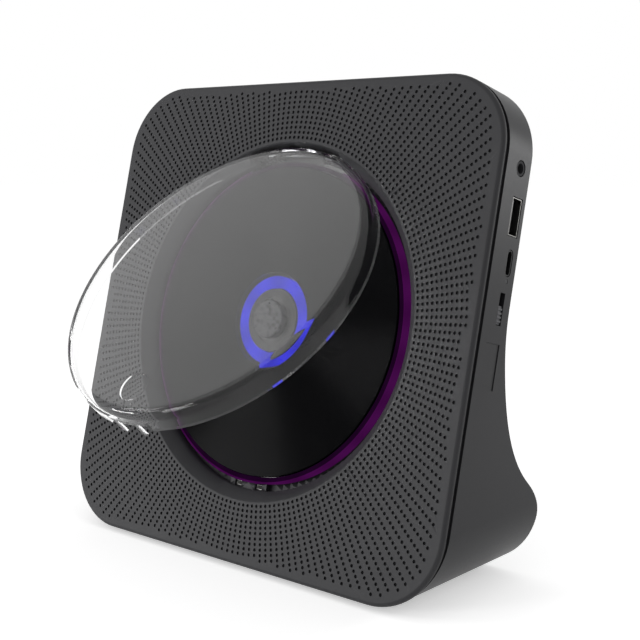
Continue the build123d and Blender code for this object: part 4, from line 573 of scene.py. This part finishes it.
@dataclass(frozen=True)
class SpeckledPlastic(Finish):
    """Grey moulded centre with dark flecks."""

    name: str = "flecked_grey_nylon"
    colour: str = "#39393b"
    fleck: str = "#020203"
    size: float = 1.9
    # Where a fleck's edge starts and ends, as a share of its cell
    edge: Span = (0.34, 0.46)

    def build(self) -> Material:
        """Spots about the middles of a cell pattern stand for flakes in the plastic."""
        shade = ShaderTree(self.name)
        cells = shade.add("TexVoronoi", {"Vector": shade.place, "Scale": 1 / self.size})
        fleck = shade.add("MapRange", {
            "Value": cells, "From Min": self.edge[0], "From Max": self.edge[1], "To Min": 1.0, "To Max": 0.0})
        shade.skin(fleck, (self.colour, self.fleck))
        shade.set(Roughness=0.6, Specular_IOR_Level=0.2)
        return shade.material


@dataclass(frozen=True)
class CircuitBoard(Finish):
    """Green solder mask over copper tracks, which show as slightly paler straight runs."""

    name: str = "green_solder_mask"
    mask: str = "#11472a"
    track: str = "#1d6b3d"
    pitch: float = 2.5
    relief: float = 0.03
    # Where a track's edge starts and ends, as a share of its cell
    edge: Span = (0.6, 0.66)

    def build(self) -> Material:
        """Square cells stand for tracks and pads under the mask."""
        shade = ShaderTree(self.name)
        cells = shade.add("TexVoronoi", {"Vector": shade.place, "Scale": 1 / self.pitch},
                          distance="MANHATTAN", feature="F2")
        edge = shade.add("MapRange", {"Value": cells, "From Min": self.edge[0], "From Max": self.edge[1]})
        shade.skin(edge, (self.mask, self.track), edge, self.relief)
        shade.set(Roughness=0.35)
        return shade.material


@dataclass(frozen=True)
class ConePaper(Finish):
    """Pressed paper pulp with short dark fibres."""

    name: str = "pressed_cone_paper"
    colour: str = "#2b2b2c"
    fibre: str = "#454547"
    length: float = 0.5
    relief: float = 0.05

    def build(self) -> Material:
        """Twisted noise stands for the fibres."""
        shade = ShaderTree(self.name)
        fibres = shade.add("TexNoise", {
            "Vector": shade.place, "Scale": 1 / self.length, "Detail": 6.0, "Distortion": 1.5})
        shade.skin(fibres, (self.colour, self.fibre), fibres, self.relief)
        shade.set(Roughness=0.85)
        return shade.material


# Injection-moulded ABS of the face: dark graphite, satin from a spark-eroded mould
FACE_ABS = MouldedPlastic("graphite_abs_face", "#2f2f31", "#2b2b2d", 0.5, sheen=0.2)
# The same ABS in the rear shell: smoother mould, so the light rolls round the sweep in one soft band
SHELL_ABS = MouldedPlastic("graphite_abs_shell", "#252527", "#212123", 0.4, pit=0.3, relief=0.008, sheen=0.16)
# The same ABS inside small holes and round the jack, a touch darker than the face: painted shade; rough, so it
# gets no glint
HOLE_ABS = MouldedPlastic("shaded_hole_abs", "#2c2c2e", "#28282a", 0.7, sheen=0.15)
# Black ABS of inner mouldings: plain satin, darker than the housing
BLACK_ABS = MouldedPlastic("black_abs", "#161617", "#121213", 0.4, sheen=0.3)
# Polished black ABS under the disc: mirrors the light ring
GLOSS_ABS = MouldedPlastic("polished_black_abs", "#0c0c0d", "#0a0a0b", 0.2, relief=0.002)
# Natural acetal of gears and latch: pale and waxy
ACETAL = MouldedPlastic("natural_acetal", "#b9b9b6", "#adadaa", 0.35, relief=0.004)
# ABS of the keys: a touch glossier than the shell, so their rims catch a line of light
KEY_ABS = MouldedPlastic("graphite_abs_keys", "#262628", "#222224", 0.42, pit=0.3, relief=0.006, sheen=0.4)
# Coated polyimide of the lamp strip: flat white
FLEX = MouldedPlastic("white_flex_strip", "#d9d6cc", "#cfccc2", 0.4, relief=0.004)
# Paint of the key symbols: pale and dull
MARK_PAINT = MouldedPlastic("pale_key_paint", "#a8a8aa", "#9c9c9e", 0.6)
# Nylon of the switch's slider: a shade lighter than the shell
SWITCH_ABS = MouldedPlastic("grey_nylon_slider", "#4c4c4f", "#454548", 0.5)
# Milky acrylic of the indicator, unlit: a dark smooth dot
LED_LENS = MouldedPlastic("milky_light_pipe", "#242528", "#202124", 0.3, relief=0.003)
# Sintered ferrite of the speaker magnets: dull brown-black
FERRITE = MouldedPlastic("sintered_ferrite", "#3d3c3b", "#302f2e", 0.6)
# Moulded epoxy of the chips: near black and matte
EPOXY = MouldedPlastic("moulded_epoxy", "#1a1a1c", "#151517", 0.55)
# Cold-rolled and drawn steel: bright with fine lines along it
STEEL = Metal("brushed_steel", "#a9a9ab", "#8f8f92", 0.32)
# Blackened steel of screws and sprung balls: dark with a soft glint
BLACK_STEEL = Metal("blackened_steel", "#3a3a3c", "#2c2c2e", 0.42)
# Nickel plate of the flat socket, painted darker than bright plate: painted shade of the socket's dark mouth; a
# thin grey rim
NICKEL = Metal("plated_nickel", "#6c6b69", "#5e5d5b", 0.36)
# Gold flash on contacts: warm and bright
GOLD = Metal("gold_flash", "#e0b460", "#cfa04c", 0.25)
# Extruded aluminium, anodised clear: pale, with its lines upright
ALUMINIUM = Metal("anodised_aluminium", "#b4b5b8", "#a2a3a6", 0.38, along=(1.0, 0.05, 1.0))
# Polished acrylic of the cover's plate: a grey veil of reflected room over what is behind it
ACRYLIC = ClearPlastic("polished_clear_acrylic", 1.0)
# The same acrylic on the cover's rim, as it leaves the mould: clear, with thin bright lines
ACRYLIC_RIM = ClearPlastic("moulded_clear_acrylic", 0.3)
# Polycarbonate in the disc's middle: almost unseen
POLYCARBONATE = ClearPlastic("clear_polycarbonate", 0.1, index=1.05)
# Coated glass of the pickup's lens: a blue spark
LENS_GLASS = ClearPlastic("coated_lens_glass", 0.6, index=1.52, tint="#cfd6ff")
# Rubber of feet, dampers, pad and surrounds: dull black with grey bloom
RUBBER = SoftRubber()
# Lacquer over the disc's track: black, with streaks that fan out from the middle
LACQUER = DiscLacquer()
# Nylon of the hub, with flakes in it: mottled grey
FLECKED = SpeckledPlastic()
# Solder mask of the boards: green with paler runs
MASK = CircuitBoard()
# Paper of the speaker cones: charcoal and fibrous
PAPER = ConePaper()
# Milky acrylic round the disc, over purple lamps: its front is nearly dark
PURPLE = LightGuide("purple_light_guide", "#0c000d", "#16041a", 24)
# Painted purple glow on the thin collar of the face moulding outside it: painted light from the ring, on a part
# that is no lamp
PAINTED_COLLAR_GLOW = LightGuide("collar_painted_purple_glow", "#0c000d", "#3c0a40", 24)
# Milky acrylic round the hub, over blue lamps: an even bright ring
BLUE = LightGuide("blue_light_guide", "#06061a", "#1d1ac4", 6)


@dataclass
class SmoothSkin:
    """Welds a CAD node's loose triangles and smooths them up to an angle."""

    merge: float = 0.002
    sharp: float = SHARP_ANGLE

    def tree(self) -> GeometryTree:
        """Merge by distance, then smooth faces with sharp edges kept."""
        skin = GeometryTree("weld_and_smooth")
        merge = skin.input("Merge Distance", "Float", self.merge * MM)
        limit = skin.input("Sharp Angle", "Float", math.radians(self.sharp))
        welded = skin.add("GeometryNodeMergeByDistance", {"Geometry": skin.entry.outputs[0], "Distance": merge})
        smooth = skin.add("GeometryNodeSetShadeSmooth", {"Geometry": welded}, domain="FACE")
        bend = skin.add("GeometryNodeInputMeshEdgeAngle")
        sharp = skin.add("FunctionNodeCompare", {"A": bend, "B": limit}, operation="GREATER_THAN")
        kept = skin.add("GeometryNodeSetShadeSmooth", {
            "Geometry": smooth, "Selection": sharp, "Shade Smooth": False}, domain="EDGE")
        skin.close(kept)
        return skin

    def put_on(self, nodes: list[Object]) -> None:
        """Adds the live skin and area-weighted normals to each node."""
        skin = self.tree()
        for node in nodes:
            skin.attach(node)
            weigh_normals(node)


@dataclass
class GrilleFace:
    """Front moulding with its rings of small round holes."""

    first_ring: float = 71.1
    ring_pitch: float = 2.0
    rings: int = 24
    holes_per_ring: int = 200
    hole_radius: float = 0.66
    hole_depth: float = 1.4
    hole_sides: int = 8
    front: float = 0.8
    half_width: float = 95.0
    half_height: float = 93.5
    corner: float = 27.5
    margin: float = 4.0
    # Collar that gets the painted purple glow, between two radii and two heights
    collar: tuple[float, float, float, float] = (61.9, 62.85, -7.3, -3.4)

    def tree(self) -> GeometryTree:
        """Cuts a hole at each point of a ring pattern that lies inside the face's border."""
        grille = GeometryTree("perforated_face")
        first, pitch, radius, depth, front, corner, inner_x, inner_y = grille.lengths(
            first_ring=self.first_ring, ring_pitch=self.ring_pitch, hole_radius=self.hole_radius,
            hole_depth=self.hole_depth, face_height=self.front, field_corner=self.corner - self.margin,
            field_straight_x=self.half_width - self.corner, field_straight_y=self.half_height - self.corner)
        rings = grille.input("Rings", "Int", self.rings)
        spokes = grille.input("Holes per Ring", "Int", self.holes_per_ring)
        sides = grille.input("Hole Sides", "Int", self.hole_sides)
        place = grille.input("Face Origin", "Vector", tuple(FACE.origin()))
        tilt = grille.input("Face Tilt", "Vector", (FACE.tilt(), 0.0, 0.0))
        # Painted shade: the holes' walls get the darker hole finish
        hole_shade = grille.input("Hole Material", "Material", HOLE_ABS.material())

        count = grille.add("ShaderNodeMath", {0: rings, 1: spokes}, operation="MULTIPLY")
        points = grille.add("GeometryNodePoints", {"Count": count})
        index = grille.add("GeometryNodeInputIndex")
        ratio = grille.add("ShaderNodeMath", {0: index, 1: spokes}, operation="DIVIDE")
        ring = grille.add("ShaderNodeMath", {0: ratio}, operation="FLOOR")
        share = grille.add("ShaderNodeMath", {0: ratio}, operation="FRACT")
        reach = grille.add("ShaderNodeMath", {0: ring, 1: pitch, 2: first}, operation="MULTIPLY_ADD")
        angle = grille.add("ShaderNodeMath", {0: share, 1: 2 * math.pi}, operation="MULTIPLY")
        spots, overshoots = {"Z": front}, {}
        for axis, part, straight in (("X", "COSINE", inner_x), ("Y", "SINE", inner_y)):
            unit = grille.add("ShaderNodeMath", {0: angle}, operation=part)
            spots[axis] = grille.add("ShaderNodeMath", {0: unit, 1: reach}, operation="MULTIPLY")
            size = grille.add("ShaderNodeMath", {0: spots[axis]}, operation="ABSOLUTE")
            over = grille.add("ShaderNodeMath", {0: size, 1: straight}, operation="SUBTRACT")
            overshoots[axis] = grille.add("ShaderNodeMath", {0: over, 1: 0.0}, operation="MAXIMUM")
        spot = grille.add("ShaderNodeCombineXYZ", spots)
        spread = grille.add("GeometryNodeSetPosition", {"Geometry": points, "Position": spot})
        overshoot = grille.add("ShaderNodeCombineXYZ", overshoots)
        beyond = grille.add("ShaderNodeVectorMath", {0: overshoot}, operation="LENGTH")
        outside = grille.add("FunctionNodeCompare", {"A": beyond.outputs["Value"], "B": corner},
                             operation="GREATER_THAN")
        field_points = grille.add("GeometryNodeDeleteGeometry", {
            "Geometry": spread, "Selection": outside}, domain="POINT")

        drill = grille.add("GeometryNodeMeshCylinder", {"Vertices": sides, "Radius": radius, "Depth": depth})
        holes = grille.add("GeometryNodeInstanceOnPoints", {"Points": field_points, "Instance": drill})
        solid = grille.add("GeometryNodeRealizeInstances", {"Geometry": holes})
        lined = grille.add("GeometryNodeSetMaterial", {"Geometry": solid, "Material": hole_shade})
        turn = grille.add("FunctionNodeEulerToRotation", {"Euler": tilt})
        placed = grille.add("GeometryNodeTransform", {
            "Geometry": lined, "Translation": place, "Rotation": turn})
        cut = grille.add("GeometryNodeMeshBoolean", {"Mesh 1": grille.entry.outputs[0], "Mesh 2": placed},
                         operation="DIFFERENCE", solver="MANIFOLD")
        grille.close(cut)
        return grille

    def paint_collar_glow(self, mesh: Mesh) -> None:
        """Paints the light guide's purple glow onto the thin collar of the moulding round it: painted light, on
        a part that is no lamp.
        """
        mesh.materials.append(HOLE_ABS.material())
        # Painted purple glow for the collar, which is moulding and no lamp
        mesh.materials.append(PAINTED_COLLAR_GLOW.material())
        glow = len(mesh.materials) - 1
        to_face = FACE.matrix().inverted()
        inner, outer, low, high = self.collar
        for side in mesh.polygons:
            spot = to_face @ side.center
            if inner < math.hypot(spot.x, spot.y) < outer and low < spot.z < high:
                side.material_index = glow

    def build(self) -> None:
        """Drills a copy of the front moulding and paints a purple glow on its collar."""
        face = self.tree().cut_node("front_panel", "grille_face", FACE_ABS)
        weigh_normals(face)
        self.paint_collar_glow(face.data)
        enrol(face, Body.HOUSING.value, "front_panel")


@dataclass
class DustCover:
    """Clear dished cover, drawn shut and swung open about its hinge line."""

    radius: float = 64.3
    base: float = -7.0
    front: float = 1.6
    wall: float = 1.4
    plate: float = 1.8
    edge_radius: float = 4.2
    hinge_y: float = 65.5
    hinge_height: float = -6.4
    opening: float = 30.5
    dimple_y: float = -52.5
    dimple_radius: float = 5.8
    dimple_depth: float = 0.7
    dimple_fillet: float = 0.45
    dimple_draft: float = 0.15
    hook_x: float = 5.3
    hook_width: float = 2.2
    hook_thickness: float = 0.75
    hook_end: float = -10.2
    hook_root: float = -3.9
    # Half width and top height of each notch
    low_notch: Span = (10.0, -4.4)
    hinge_notch: Span = (12.8, -4.0)
    knuckle_x: float = 15.0
    knuckle_length: float = 4.0
    knuckle_radius: float = 2.1
    arm_heights: Span = (-7.4, -5.2)
    pin_radius: float = 1.06
    # How far pieces run into each other before they are joined, and how far cutters run past
    overlap: float = 0.2
    past: float = 1.0

    def section(self) -> Corners:
        """Half section of the dish, from the middle of its front round to the middle of its back."""
        bend = (self.radius - self.edge_radius, self.front - self.edge_radius)
        inner_radius, inner_top = self.radius - self.wall, self.front - self.plate
        inner_edge = self.edge_radius - self.wall
        inner_bend = (inner_radius - inner_edge, inner_top - inner_edge)
        return [
            (0.0, self.front), *arc(bend, self.edge_radius, 90, 0, 14), (self.radius, self.base),
            (inner_radius, self.base), *arc(inner_bend, inner_edge, 0, 90, 12), (0.0, inner_top),
        ]

    def dimple(self) -> Mesh:
        """Cutter for the finger dimple: shallow round pan with a rounded wall."""
        low, rim, fillet = self.front - self.dimple_depth, self.front + 2 * self.overlap, self.dimple_fillet
        outline = [(0.0, low), *arc((self.dimple_radius - fillet, low + fillet), fillet, -90, 0, 6),
                   (self.dimple_radius + self.dimple_draft, rim), (0.0, rim)]
        mesh = plain_mesh(turned(outline, 96), "dimple")
        mesh.transform(Matrix.Translation((0, self.dimple_y, 0)))
        return mesh

    def cutters(self) -> list[Mesh]:
        """Dimple, the notch round the latch and the notch between the hinge knuckles."""
        outer, inner = self.radius + self.past, self.radius - self.wall - 4 * self.past
        notches = [(self.low_notch, (-outer, -inner)), (self.hinge_notch, (inner, outer))]
        return [self.dimple()] + [block((-half, half), span, (self.base - self.past, top))
                                  for (half, top), span in notches]

    def additions(self) -> list[Mesh]:
        """Hooks for the latch, and knuckles on short arms for the hinge pin."""
        parts = []
        for side in (-1, 1):
            hook = side * self.hook_x
            back = -self.radius + self.overlap
            parts.append(block((hook - self.hook_width / 2, hook + self.hook_width / 2),
                               (back, back + self.hook_thickness), (self.hook_end, self.hook_root)))
            knuckle = side * self.knuckle_x
            start, end = knuckle - self.knuckle_length / 2, knuckle + self.knuckle_length / 2
            arm = block((start, end), (self.radius - self.wall + self.overlap, self.hinge_y), self.arm_heights)
            rod = rod_along_x(self.knuckle_radius, (start, end), self.hinge_y, self.hinge_height)
            through = (start - self.past, end + self.past)
            bore = rod_along_x(self.pin_radius, through, self.hinge_y, self.hinge_height)
            parts.append(combined(combined(arm, rod, "UNION"), bore, "DIFFERENCE"))
        return parts

    def open_place(self) -> Matrix:
        """Face frame to world, with the cover swung to its stop."""
        hinge = Matrix.Translation((0, self.hinge_y, self.hinge_height))
        swing = Matrix.Rotation(math.radians(-self.opening), 4, "X")
        return FACE.matrix() @ hinge @ swing @ hinge.inverted()

    def build(self) -> None:
        """Turns the dish, cuts and joins its details, and opens it."""
        mesh = plain_mesh(turned(self.section(), 256), "dish")
        for cutter in self.cutters():
            mesh = combined(mesh, cutter, "DIFFERENCE")
        for part in self.additions():
            mesh = combined(mesh, part, "UNION")
        back = self.front - self.plate - self.overlap / 2
        flat = [abs(face.normal.z) > 0.99 and face.center.z > back for face in mesh.polygons]
        smoothed(mesh, self.open_place(), 30.0)
        dressed("clear_cover", mesh, ACRYLIC, Body.COVER.value, "dust_cover")
        mesh.materials.append(ACRYLIC_RIM.material())
        mesh.polygons.foreach_set("material_index", [0 if plate else 1 for plate in flat])


@dataclass
class LacqueredDisc:
    """Disc with a black lacquered face and a clear middle."""

    radius: float = 60.0
    bore: float = 7.5
    clear_radius: float = 18.5
    front: float = -2.6
    back: float = -3.8
    edge: float = 0.15
    seam: float = 0.01
    ridge: Span = (17.5, 18.0)
    ridge_height: float = 0.2

    def lacquer(self) -> Corners:
        """Section of the black band."""
        inner, outer = self.clear_radius + self.seam, self.radius
        return [(inner, self.back), (outer - self.edge, self.back), (outer, self.back + self.edge),
                (outer, self.front - self.edge), (outer - self.edge, self.front), (inner, self.front)]

    def middle(self) -> Corners:
        """Section of the clear middle with its stacking ridge."""
        low, (start, end) = self.back - self.ridge_height, self.ridge
        return [(self.bore, self.back), (start, self.back), (start, low), (end, low), (end, self.back),
                (self.clear_radius, self.back), (self.clear_radius, self.front), (self.bore, self.front)]

    def build(self) -> None:
        """Makes both parts of the disc."""
        parts = (("disc_band", self.lacquer(), LACQUER), ("disc_middle", self.middle(), POLYCARBONATE))
        for name, outline, finish in parts:
            mesh = smoothed(plain_mesh(turned(outline, 256), name), FACE.matrix())
            dressed(name, mesh, finish, Body.SPINDLE.value, "compact_disc")


@dataclass
class KeyMarks:
    """Generic symbols on the five top keys, filled with pale paint."""

    pitch: float = 20.0
    depth: float = 10.7
    top: float = 94.3
    size: float = 3.0
    thickness: float = 0.03
    line: float = 0.45
    arrow_reach: float = 0.9
    arrow_rise: float = 1.05

    def arrow(self, shift: float = 0.0, way: int = 1) -> Corners:
        """Triangle that points along X."""
        root, tip = shift - way * self.arrow_reach, shift + way * self.arrow_reach
        return [(root, -self.arrow_rise), (tip, 0.0), (root, self.arrow_rise)]

    def bar(self, x: float, low: float = -1.0, high: float = 1.0) -> Corners:
        """Upright bar across the symbol."""
        left, right = x - self.line / 2, x + self.line / 2
        low, high = low * self.arrow_rise, high * self.arrow_rise
        return [(left, low), (right, low), (right, high), (left, high)]

    def ring(self, gap: float) -> Corners:
        """Round line, open over a gap at its top, in degrees."""
        outer = arc((0, 0), self.size / 2, 90 + gap, 450 - gap, 28)
        return outer + arc((0, 0), self.size / 2 - self.line, 450 - gap, 90 + gap, 28)

    def outlines(self, mark: Mark) -> list[Corners]:
        """Outlines that make up a symbol."""
        stop = self.arrow_reach + self.line / 2
        return {
            Mark.POWER: [self.ring(35), self.bar(0, 0.3, 1.5)],
            Mark.PREVIOUS: [self.arrow(way=-1), self.bar(-stop)],
            Mark.PLAY: [self.arrow(-0.3), self.bar(stop + 0.3), self.bar(stop + 1.1)],
            Mark.NEXT: [self.arrow(), self.bar(stop)],
            Mark.SOURCE: [self.ring(0.01)],
        }[mark]

    def build(self) -> None:
        """Lays each symbol on its key."""
        flat = Matrix.Rotation(math.radians(-90), 4, "X")
        for index, mark in enumerate(Mark):
            x = (index - (len(Mark) - 1) / 2) * self.pitch
            bm = bmesh.new()
            for outline in self.outlines(mark):
                bm.from_mesh(prism(outline, 0.0, self.thickness))
            place = FACE.matrix() @ Matrix.Translation((x, self.top, -self.depth)) @ flat
            mesh = smoothed(plain_mesh(bm, mark.value), place)
            dressed(f"{mark.value}_mark", mesh, MARK_PAINT, f"{mark.value}_body")


@dataclass
class SocketContacts:
    """Flat gilt contacts on the tongue of the flat socket."""

    y: float = 45.5
    height: float = -12.25
    mouth: float = 93.2
    length: float = 6.5
    width: float = 1.1
    pitch: float = 2.4
    count: int = 4
    thickness: float = 0.06

    def tree(self) -> GeometryTree:
        """Row of thin bars, one for each contact."""
        row = GeometryTree("contact_row")
        count = row.input("Count", "Int", self.count)
        start = row.input("Start", "Vector", (0.0, -self.pitch * (self.count - 1) / 2, 0.0))
        step = row.input("Step", "Vector", (0.0, self.pitch, 0.0))
        size = row.input("Bar Size", "Vector", (self.length, self.width, self.thickness))
        gilt = row.input("Contact Material", "Material", GOLD.material())
        points = row.add("GeometryNodeMeshLine", {"Count": count, "Start Location": start, "Offset": step})
        bar = row.add("GeometryNodeMeshCube", {"Size": size})
        bars = row.add("GeometryNodeInstanceOnPoints", {"Points": points, "Instance": bar})
        solid = row.add("GeometryNodeRealizeInstances", {"Geometry": bars})
        gilded = row.add("GeometryNodeSetMaterial", {"Geometry": solid, "Material": gilt})
        row.close(gilded)
        return row

    def build(self) -> None:
        """Makes the row and lays it on the tongue."""
        piece = self.tree().bake(link_object("socket_contacts", bpy.data.meshes.new("contacts")))
        place = Matrix.Translation((self.mouth - self.length / 2, self.y, self.height))
        smoothed(piece.data, FACE.matrix() @ place)
        enrol(piece, Body.HOUSING.value)


@dataclass
class RecessedScrews:
    """Housing screws with a cross recess in each head."""

    x: float = 80.0
    y: Span = (74.0, -36.0)
    head: float = -15.6
    reach: float = 3.2
    width: float = 0.9
    depth: float = 2.2

    def tree(self) -> GeometryTree:
        """Cuts a cross at each screw, two crossed bars at a time."""
        cross = GeometryTree("cross_recesses")
        long_bar = cross.input("Long Bar", "Vector", (self.reach * MM, self.width * MM, self.depth * MM))
        wide_bar = cross.input("Cross Bar", "Vector", (self.width * MM, self.reach * MM, self.depth * MM))
        spread_x, spread_y = cross.lengths(columns_apart=2 * self.x, rows_apart=self.y[0] - self.y[1])
        centre = FACE.matrix() @ Vector((0, sum(self.y) / 2, self.head))
        place = cross.input("Pattern Centre", "Vector", tuple(centre))
        tilt = cross.input("Face Tilt", "Vector", (FACE.tilt(), 0.0, 0.0))
        grid = cross.add("GeometryNodeMeshGrid", {
            "Size X": spread_x, "Size Y": spread_y, "Vertices X": 2, "Vertices Y": 2})
        turn = cross.add("FunctionNodeEulerToRotation", {"Euler": tilt})
        cut = cross.entry.outputs[0]
        for size in (long_bar, wide_bar):
            bar = cross.add("GeometryNodeMeshCube", {"Size": size})
            bars = cross.add("GeometryNodeInstanceOnPoints", {"Points": grid, "Instance": bar})
            solid = cross.add("GeometryNodeRealizeInstances", {"Geometry": bars})
            placed = cross.add("GeometryNodeTransform", {
                "Geometry": solid, "Translation": place, "Rotation": turn})
            cut = cross.add("GeometryNodeMeshBoolean", {"Mesh 1": cut, "Mesh 2": placed},
                            operation="DIFFERENCE", solver="MANIFOLD")
        cross.close(cut)
        return cross

    def build(self) -> None:
        """Cuts a copy of the screws."""
        piece = self.tree().cut_node("housing_screws", "recessed_screws", BLACK_STEEL)
        enrol(piece, Body.HOUSING.value, "housing_screws")


# CAD nodes that stay in view, under the finish they get
NODE_FINISHES: dict[str, Finish] = {node: finish for finish, nodes in (
    (SHELL_ABS, "rear_shell"),
    (KEY_ABS, " ".join(mark.value for mark in Mark)),
    (BLACK_ABS, "turntable pickup_sled pickup_actuator hinge_bracket usb_tongue power_socket mode_switch_body "
                "button_switches"),
    (GLOSS_ABS, "disc_tray"),
    (HOLE_ABS, "headphone_jack"),
    (SWITCH_ABS, "mode_switch_knob"),
    (LED_LENS, "status_led"),
    (PURPLE, "tray_light_ring"),
    (BLUE, "hub_light_ring"),
    (FLEX, "ring_led_strip"),
    (FLECKED, "spindle_hub"),
    (RUBBER, "rubber_feet turntable_pad chassis_dampers left_speaker_surround right_speaker_surround"),
    (ACETAL, "feed_gear feed_pinion latch_housing latch_catch"),
    (STEEL, "drive_chassis chassis_screws guide_rods spindle_motor feed_motor hinge_pin hinge_spring "
            "latch_spring"),
    (BLACK_STEEL, "hub_catches small_screws left_speaker_frame right_speaker_frame"),
    (NICKEL, "usb_socket"),
    (ALUMINIUM, "board_capacitors amplifier_heatsink"),
    (MASK, "port_board button_board main_board"),
    (EPOXY, "board_chips"),
    (PAPER, "left_speaker_cone right_speaker_cone"),
    (FERRITE, "left_speaker_magnet right_speaker_magnet"),
    (LENS_GLASS, "pickup_lens"),
) for node in nodes.split()}


@dataclass
class SoftBox:
    """Rectangular lamp aimed at a point, in metres and watts."""

    name: str
    spot: Triple
    aim: Triple
    size: Span
    power: float

    def place(self) -> None:
        """Puts the lamp in the scene."""
        light = bpy.data.lights.new(self.name, "AREA")
        light.shape = "RECTANGLE"
        light.size, light.size_y = self.size
        light.energy = self.power
        lamp = link_object(self.name, light)
        lamp.visible_camera = False
        lamp.location = self.spot
        lamp.rotation_euler = (Vector(self.aim) - Vector(self.spot)).to_track_quat("-Z", "Y").to_euler()


def seen_directly(tree: NodeTree) -> NodeSocket:
    """One for camera, mirror and glass rays, nought for the rest."""
    path = add_node(tree, "ShaderNodeLightPath").outputs
    seen = path["Is Camera Ray"]
    for kind in ("Is Glossy Ray", "Is Transmission Ray"):
        seen = add_node(tree, "ShaderNodeMath", {0: seen, 1: path[kind]}, operation="MAXIMUM")
    return seen


@dataclass
class Studio:
    """Camera, white floor, white surroundings and soft lamps."""

    eye: Triple = (0.3097, -0.3394, 0.1530)
    look: Triple = (-0.6461, 0.7515, -0.1335)
    lens: float = 66.7
    floor_size: float = 12.0
    floor_lift: float = 0.42
    ambient: float = 0.6
    lamps: list[SoftBox] = field(default_factory=lambda: [
        SoftBox("front_left", (-0.41, -1.11, 0.305), (0, 0, 0.12), (0.25, 0.25), 3.2),
        SoftBox("upper_left", (-0.80, -0.82, 0.571), (0, 0, 0.12), (0.25, 0.25), 1.4),
        SoftBox("near_left", (-0.60, -0.644, 0.055), (0, -0.03, 0.12), (0.2, 0.08), 1.5),
        SoftBox("side_right", (0.335, 0.38, 0.20), (0.095, 0.02, 0.13), (0.12, 0.16), 0.55),
    ])

    def camera(self) -> None:
        """Places the camera with its depth of field off."""
        data = bpy.data.cameras.new("camera")
        data.lens = self.lens
        data.sensor_width = 36.0
        data.clip_start = 0.01
        data.dof.use_dof = False
        camera = link_object("camera", data)
        camera.location = self.eye
        camera.rotation_euler = Vector(self.look).to_track_quat("-Z", "Y").to_euler()
        bpy.context.scene.camera = camera

    def floor(self) -> None:
        """White floor that shows white to the camera, mirrors and glass, less the object's shadow."""
        bm = bmesh.new()
        bmesh.ops.create_grid(bm, x_segments=1, y_segments=1, size=self.floor_size / 2)
        mesh = as_mesh(bm, "floor")
        material = bpy.data.materials.new("white_floor")
        material.use_nodes = True
        tree = material.node_tree
        tree.nodes.clear()
        matte = add_node(tree, "ShaderNodeBsdfDiffuse", {"Color": linear(WHITE)})
        seen = seen_directly(tree)
        glow = add_node(tree, "ShaderNodeMath", {0: seen, 1: self.floor_lift}, operation="MULTIPLY")
        lift = add_node(tree, "ShaderNodeEmission", {"Color": linear(WHITE), "Strength": glow})
        both = add_node(tree, "ShaderNodeAddShader", {0: matte, 1: lift})
        add_node(tree, "ShaderNodeOutputMaterial", {"Surface": both})
        mesh.materials.append(material)
        link_object("floor", mesh)

    def surroundings(self) -> None:
        """World that looks white and gives a plain level of light."""
        world = bpy.data.worlds.new("white_room")
        world.use_nodes = True
        bpy.context.scene.world = world
        tree = world.node_tree
        tree.nodes.clear()
        level = add_node(tree, "ShaderNodeMapRange", {
            "Value": seen_directly(tree), "To Min": self.ambient, "To Max": 1.0})
        sky = add_node(tree, "ShaderNodeBackground", {"Color": linear(WHITE), "Strength": level})
        add_node(tree, "ShaderNodeOutputWorld", {"Surface": sky})

    def build(self) -> None:
        """Sets up the whole studio."""
        self.camera()
        self.floor()
        self.surroundings()
        for lamp in self.lamps:
            lamp.place()
        bpy.context.scene.view_settings.view_transform = "Standard"


def dress_nodes() -> None:
    """Gives each CAD node its finish and a smooth skin."""
    nodes = {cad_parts[name]: finish for name, finish in NODE_FINISHES.items()}
    for node, finish in nodes.items():
        node.data.materials.clear()
        node.data.materials.append(finish.material())
    SmoothSkin().put_on(list(nodes))


def main() -> None:
    """Builds the studio and dresses the player."""
    logging.basicConfig(level=logging.INFO)
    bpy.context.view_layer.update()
    Studio().build()
    dress_nodes()
    for part in (GrilleFace(), DustCover(), LacqueredDisc(), KeyMarks(), SocketContacts(), RecessedScrews()):
        part.build()


if __name__ == "__main__":
    main()
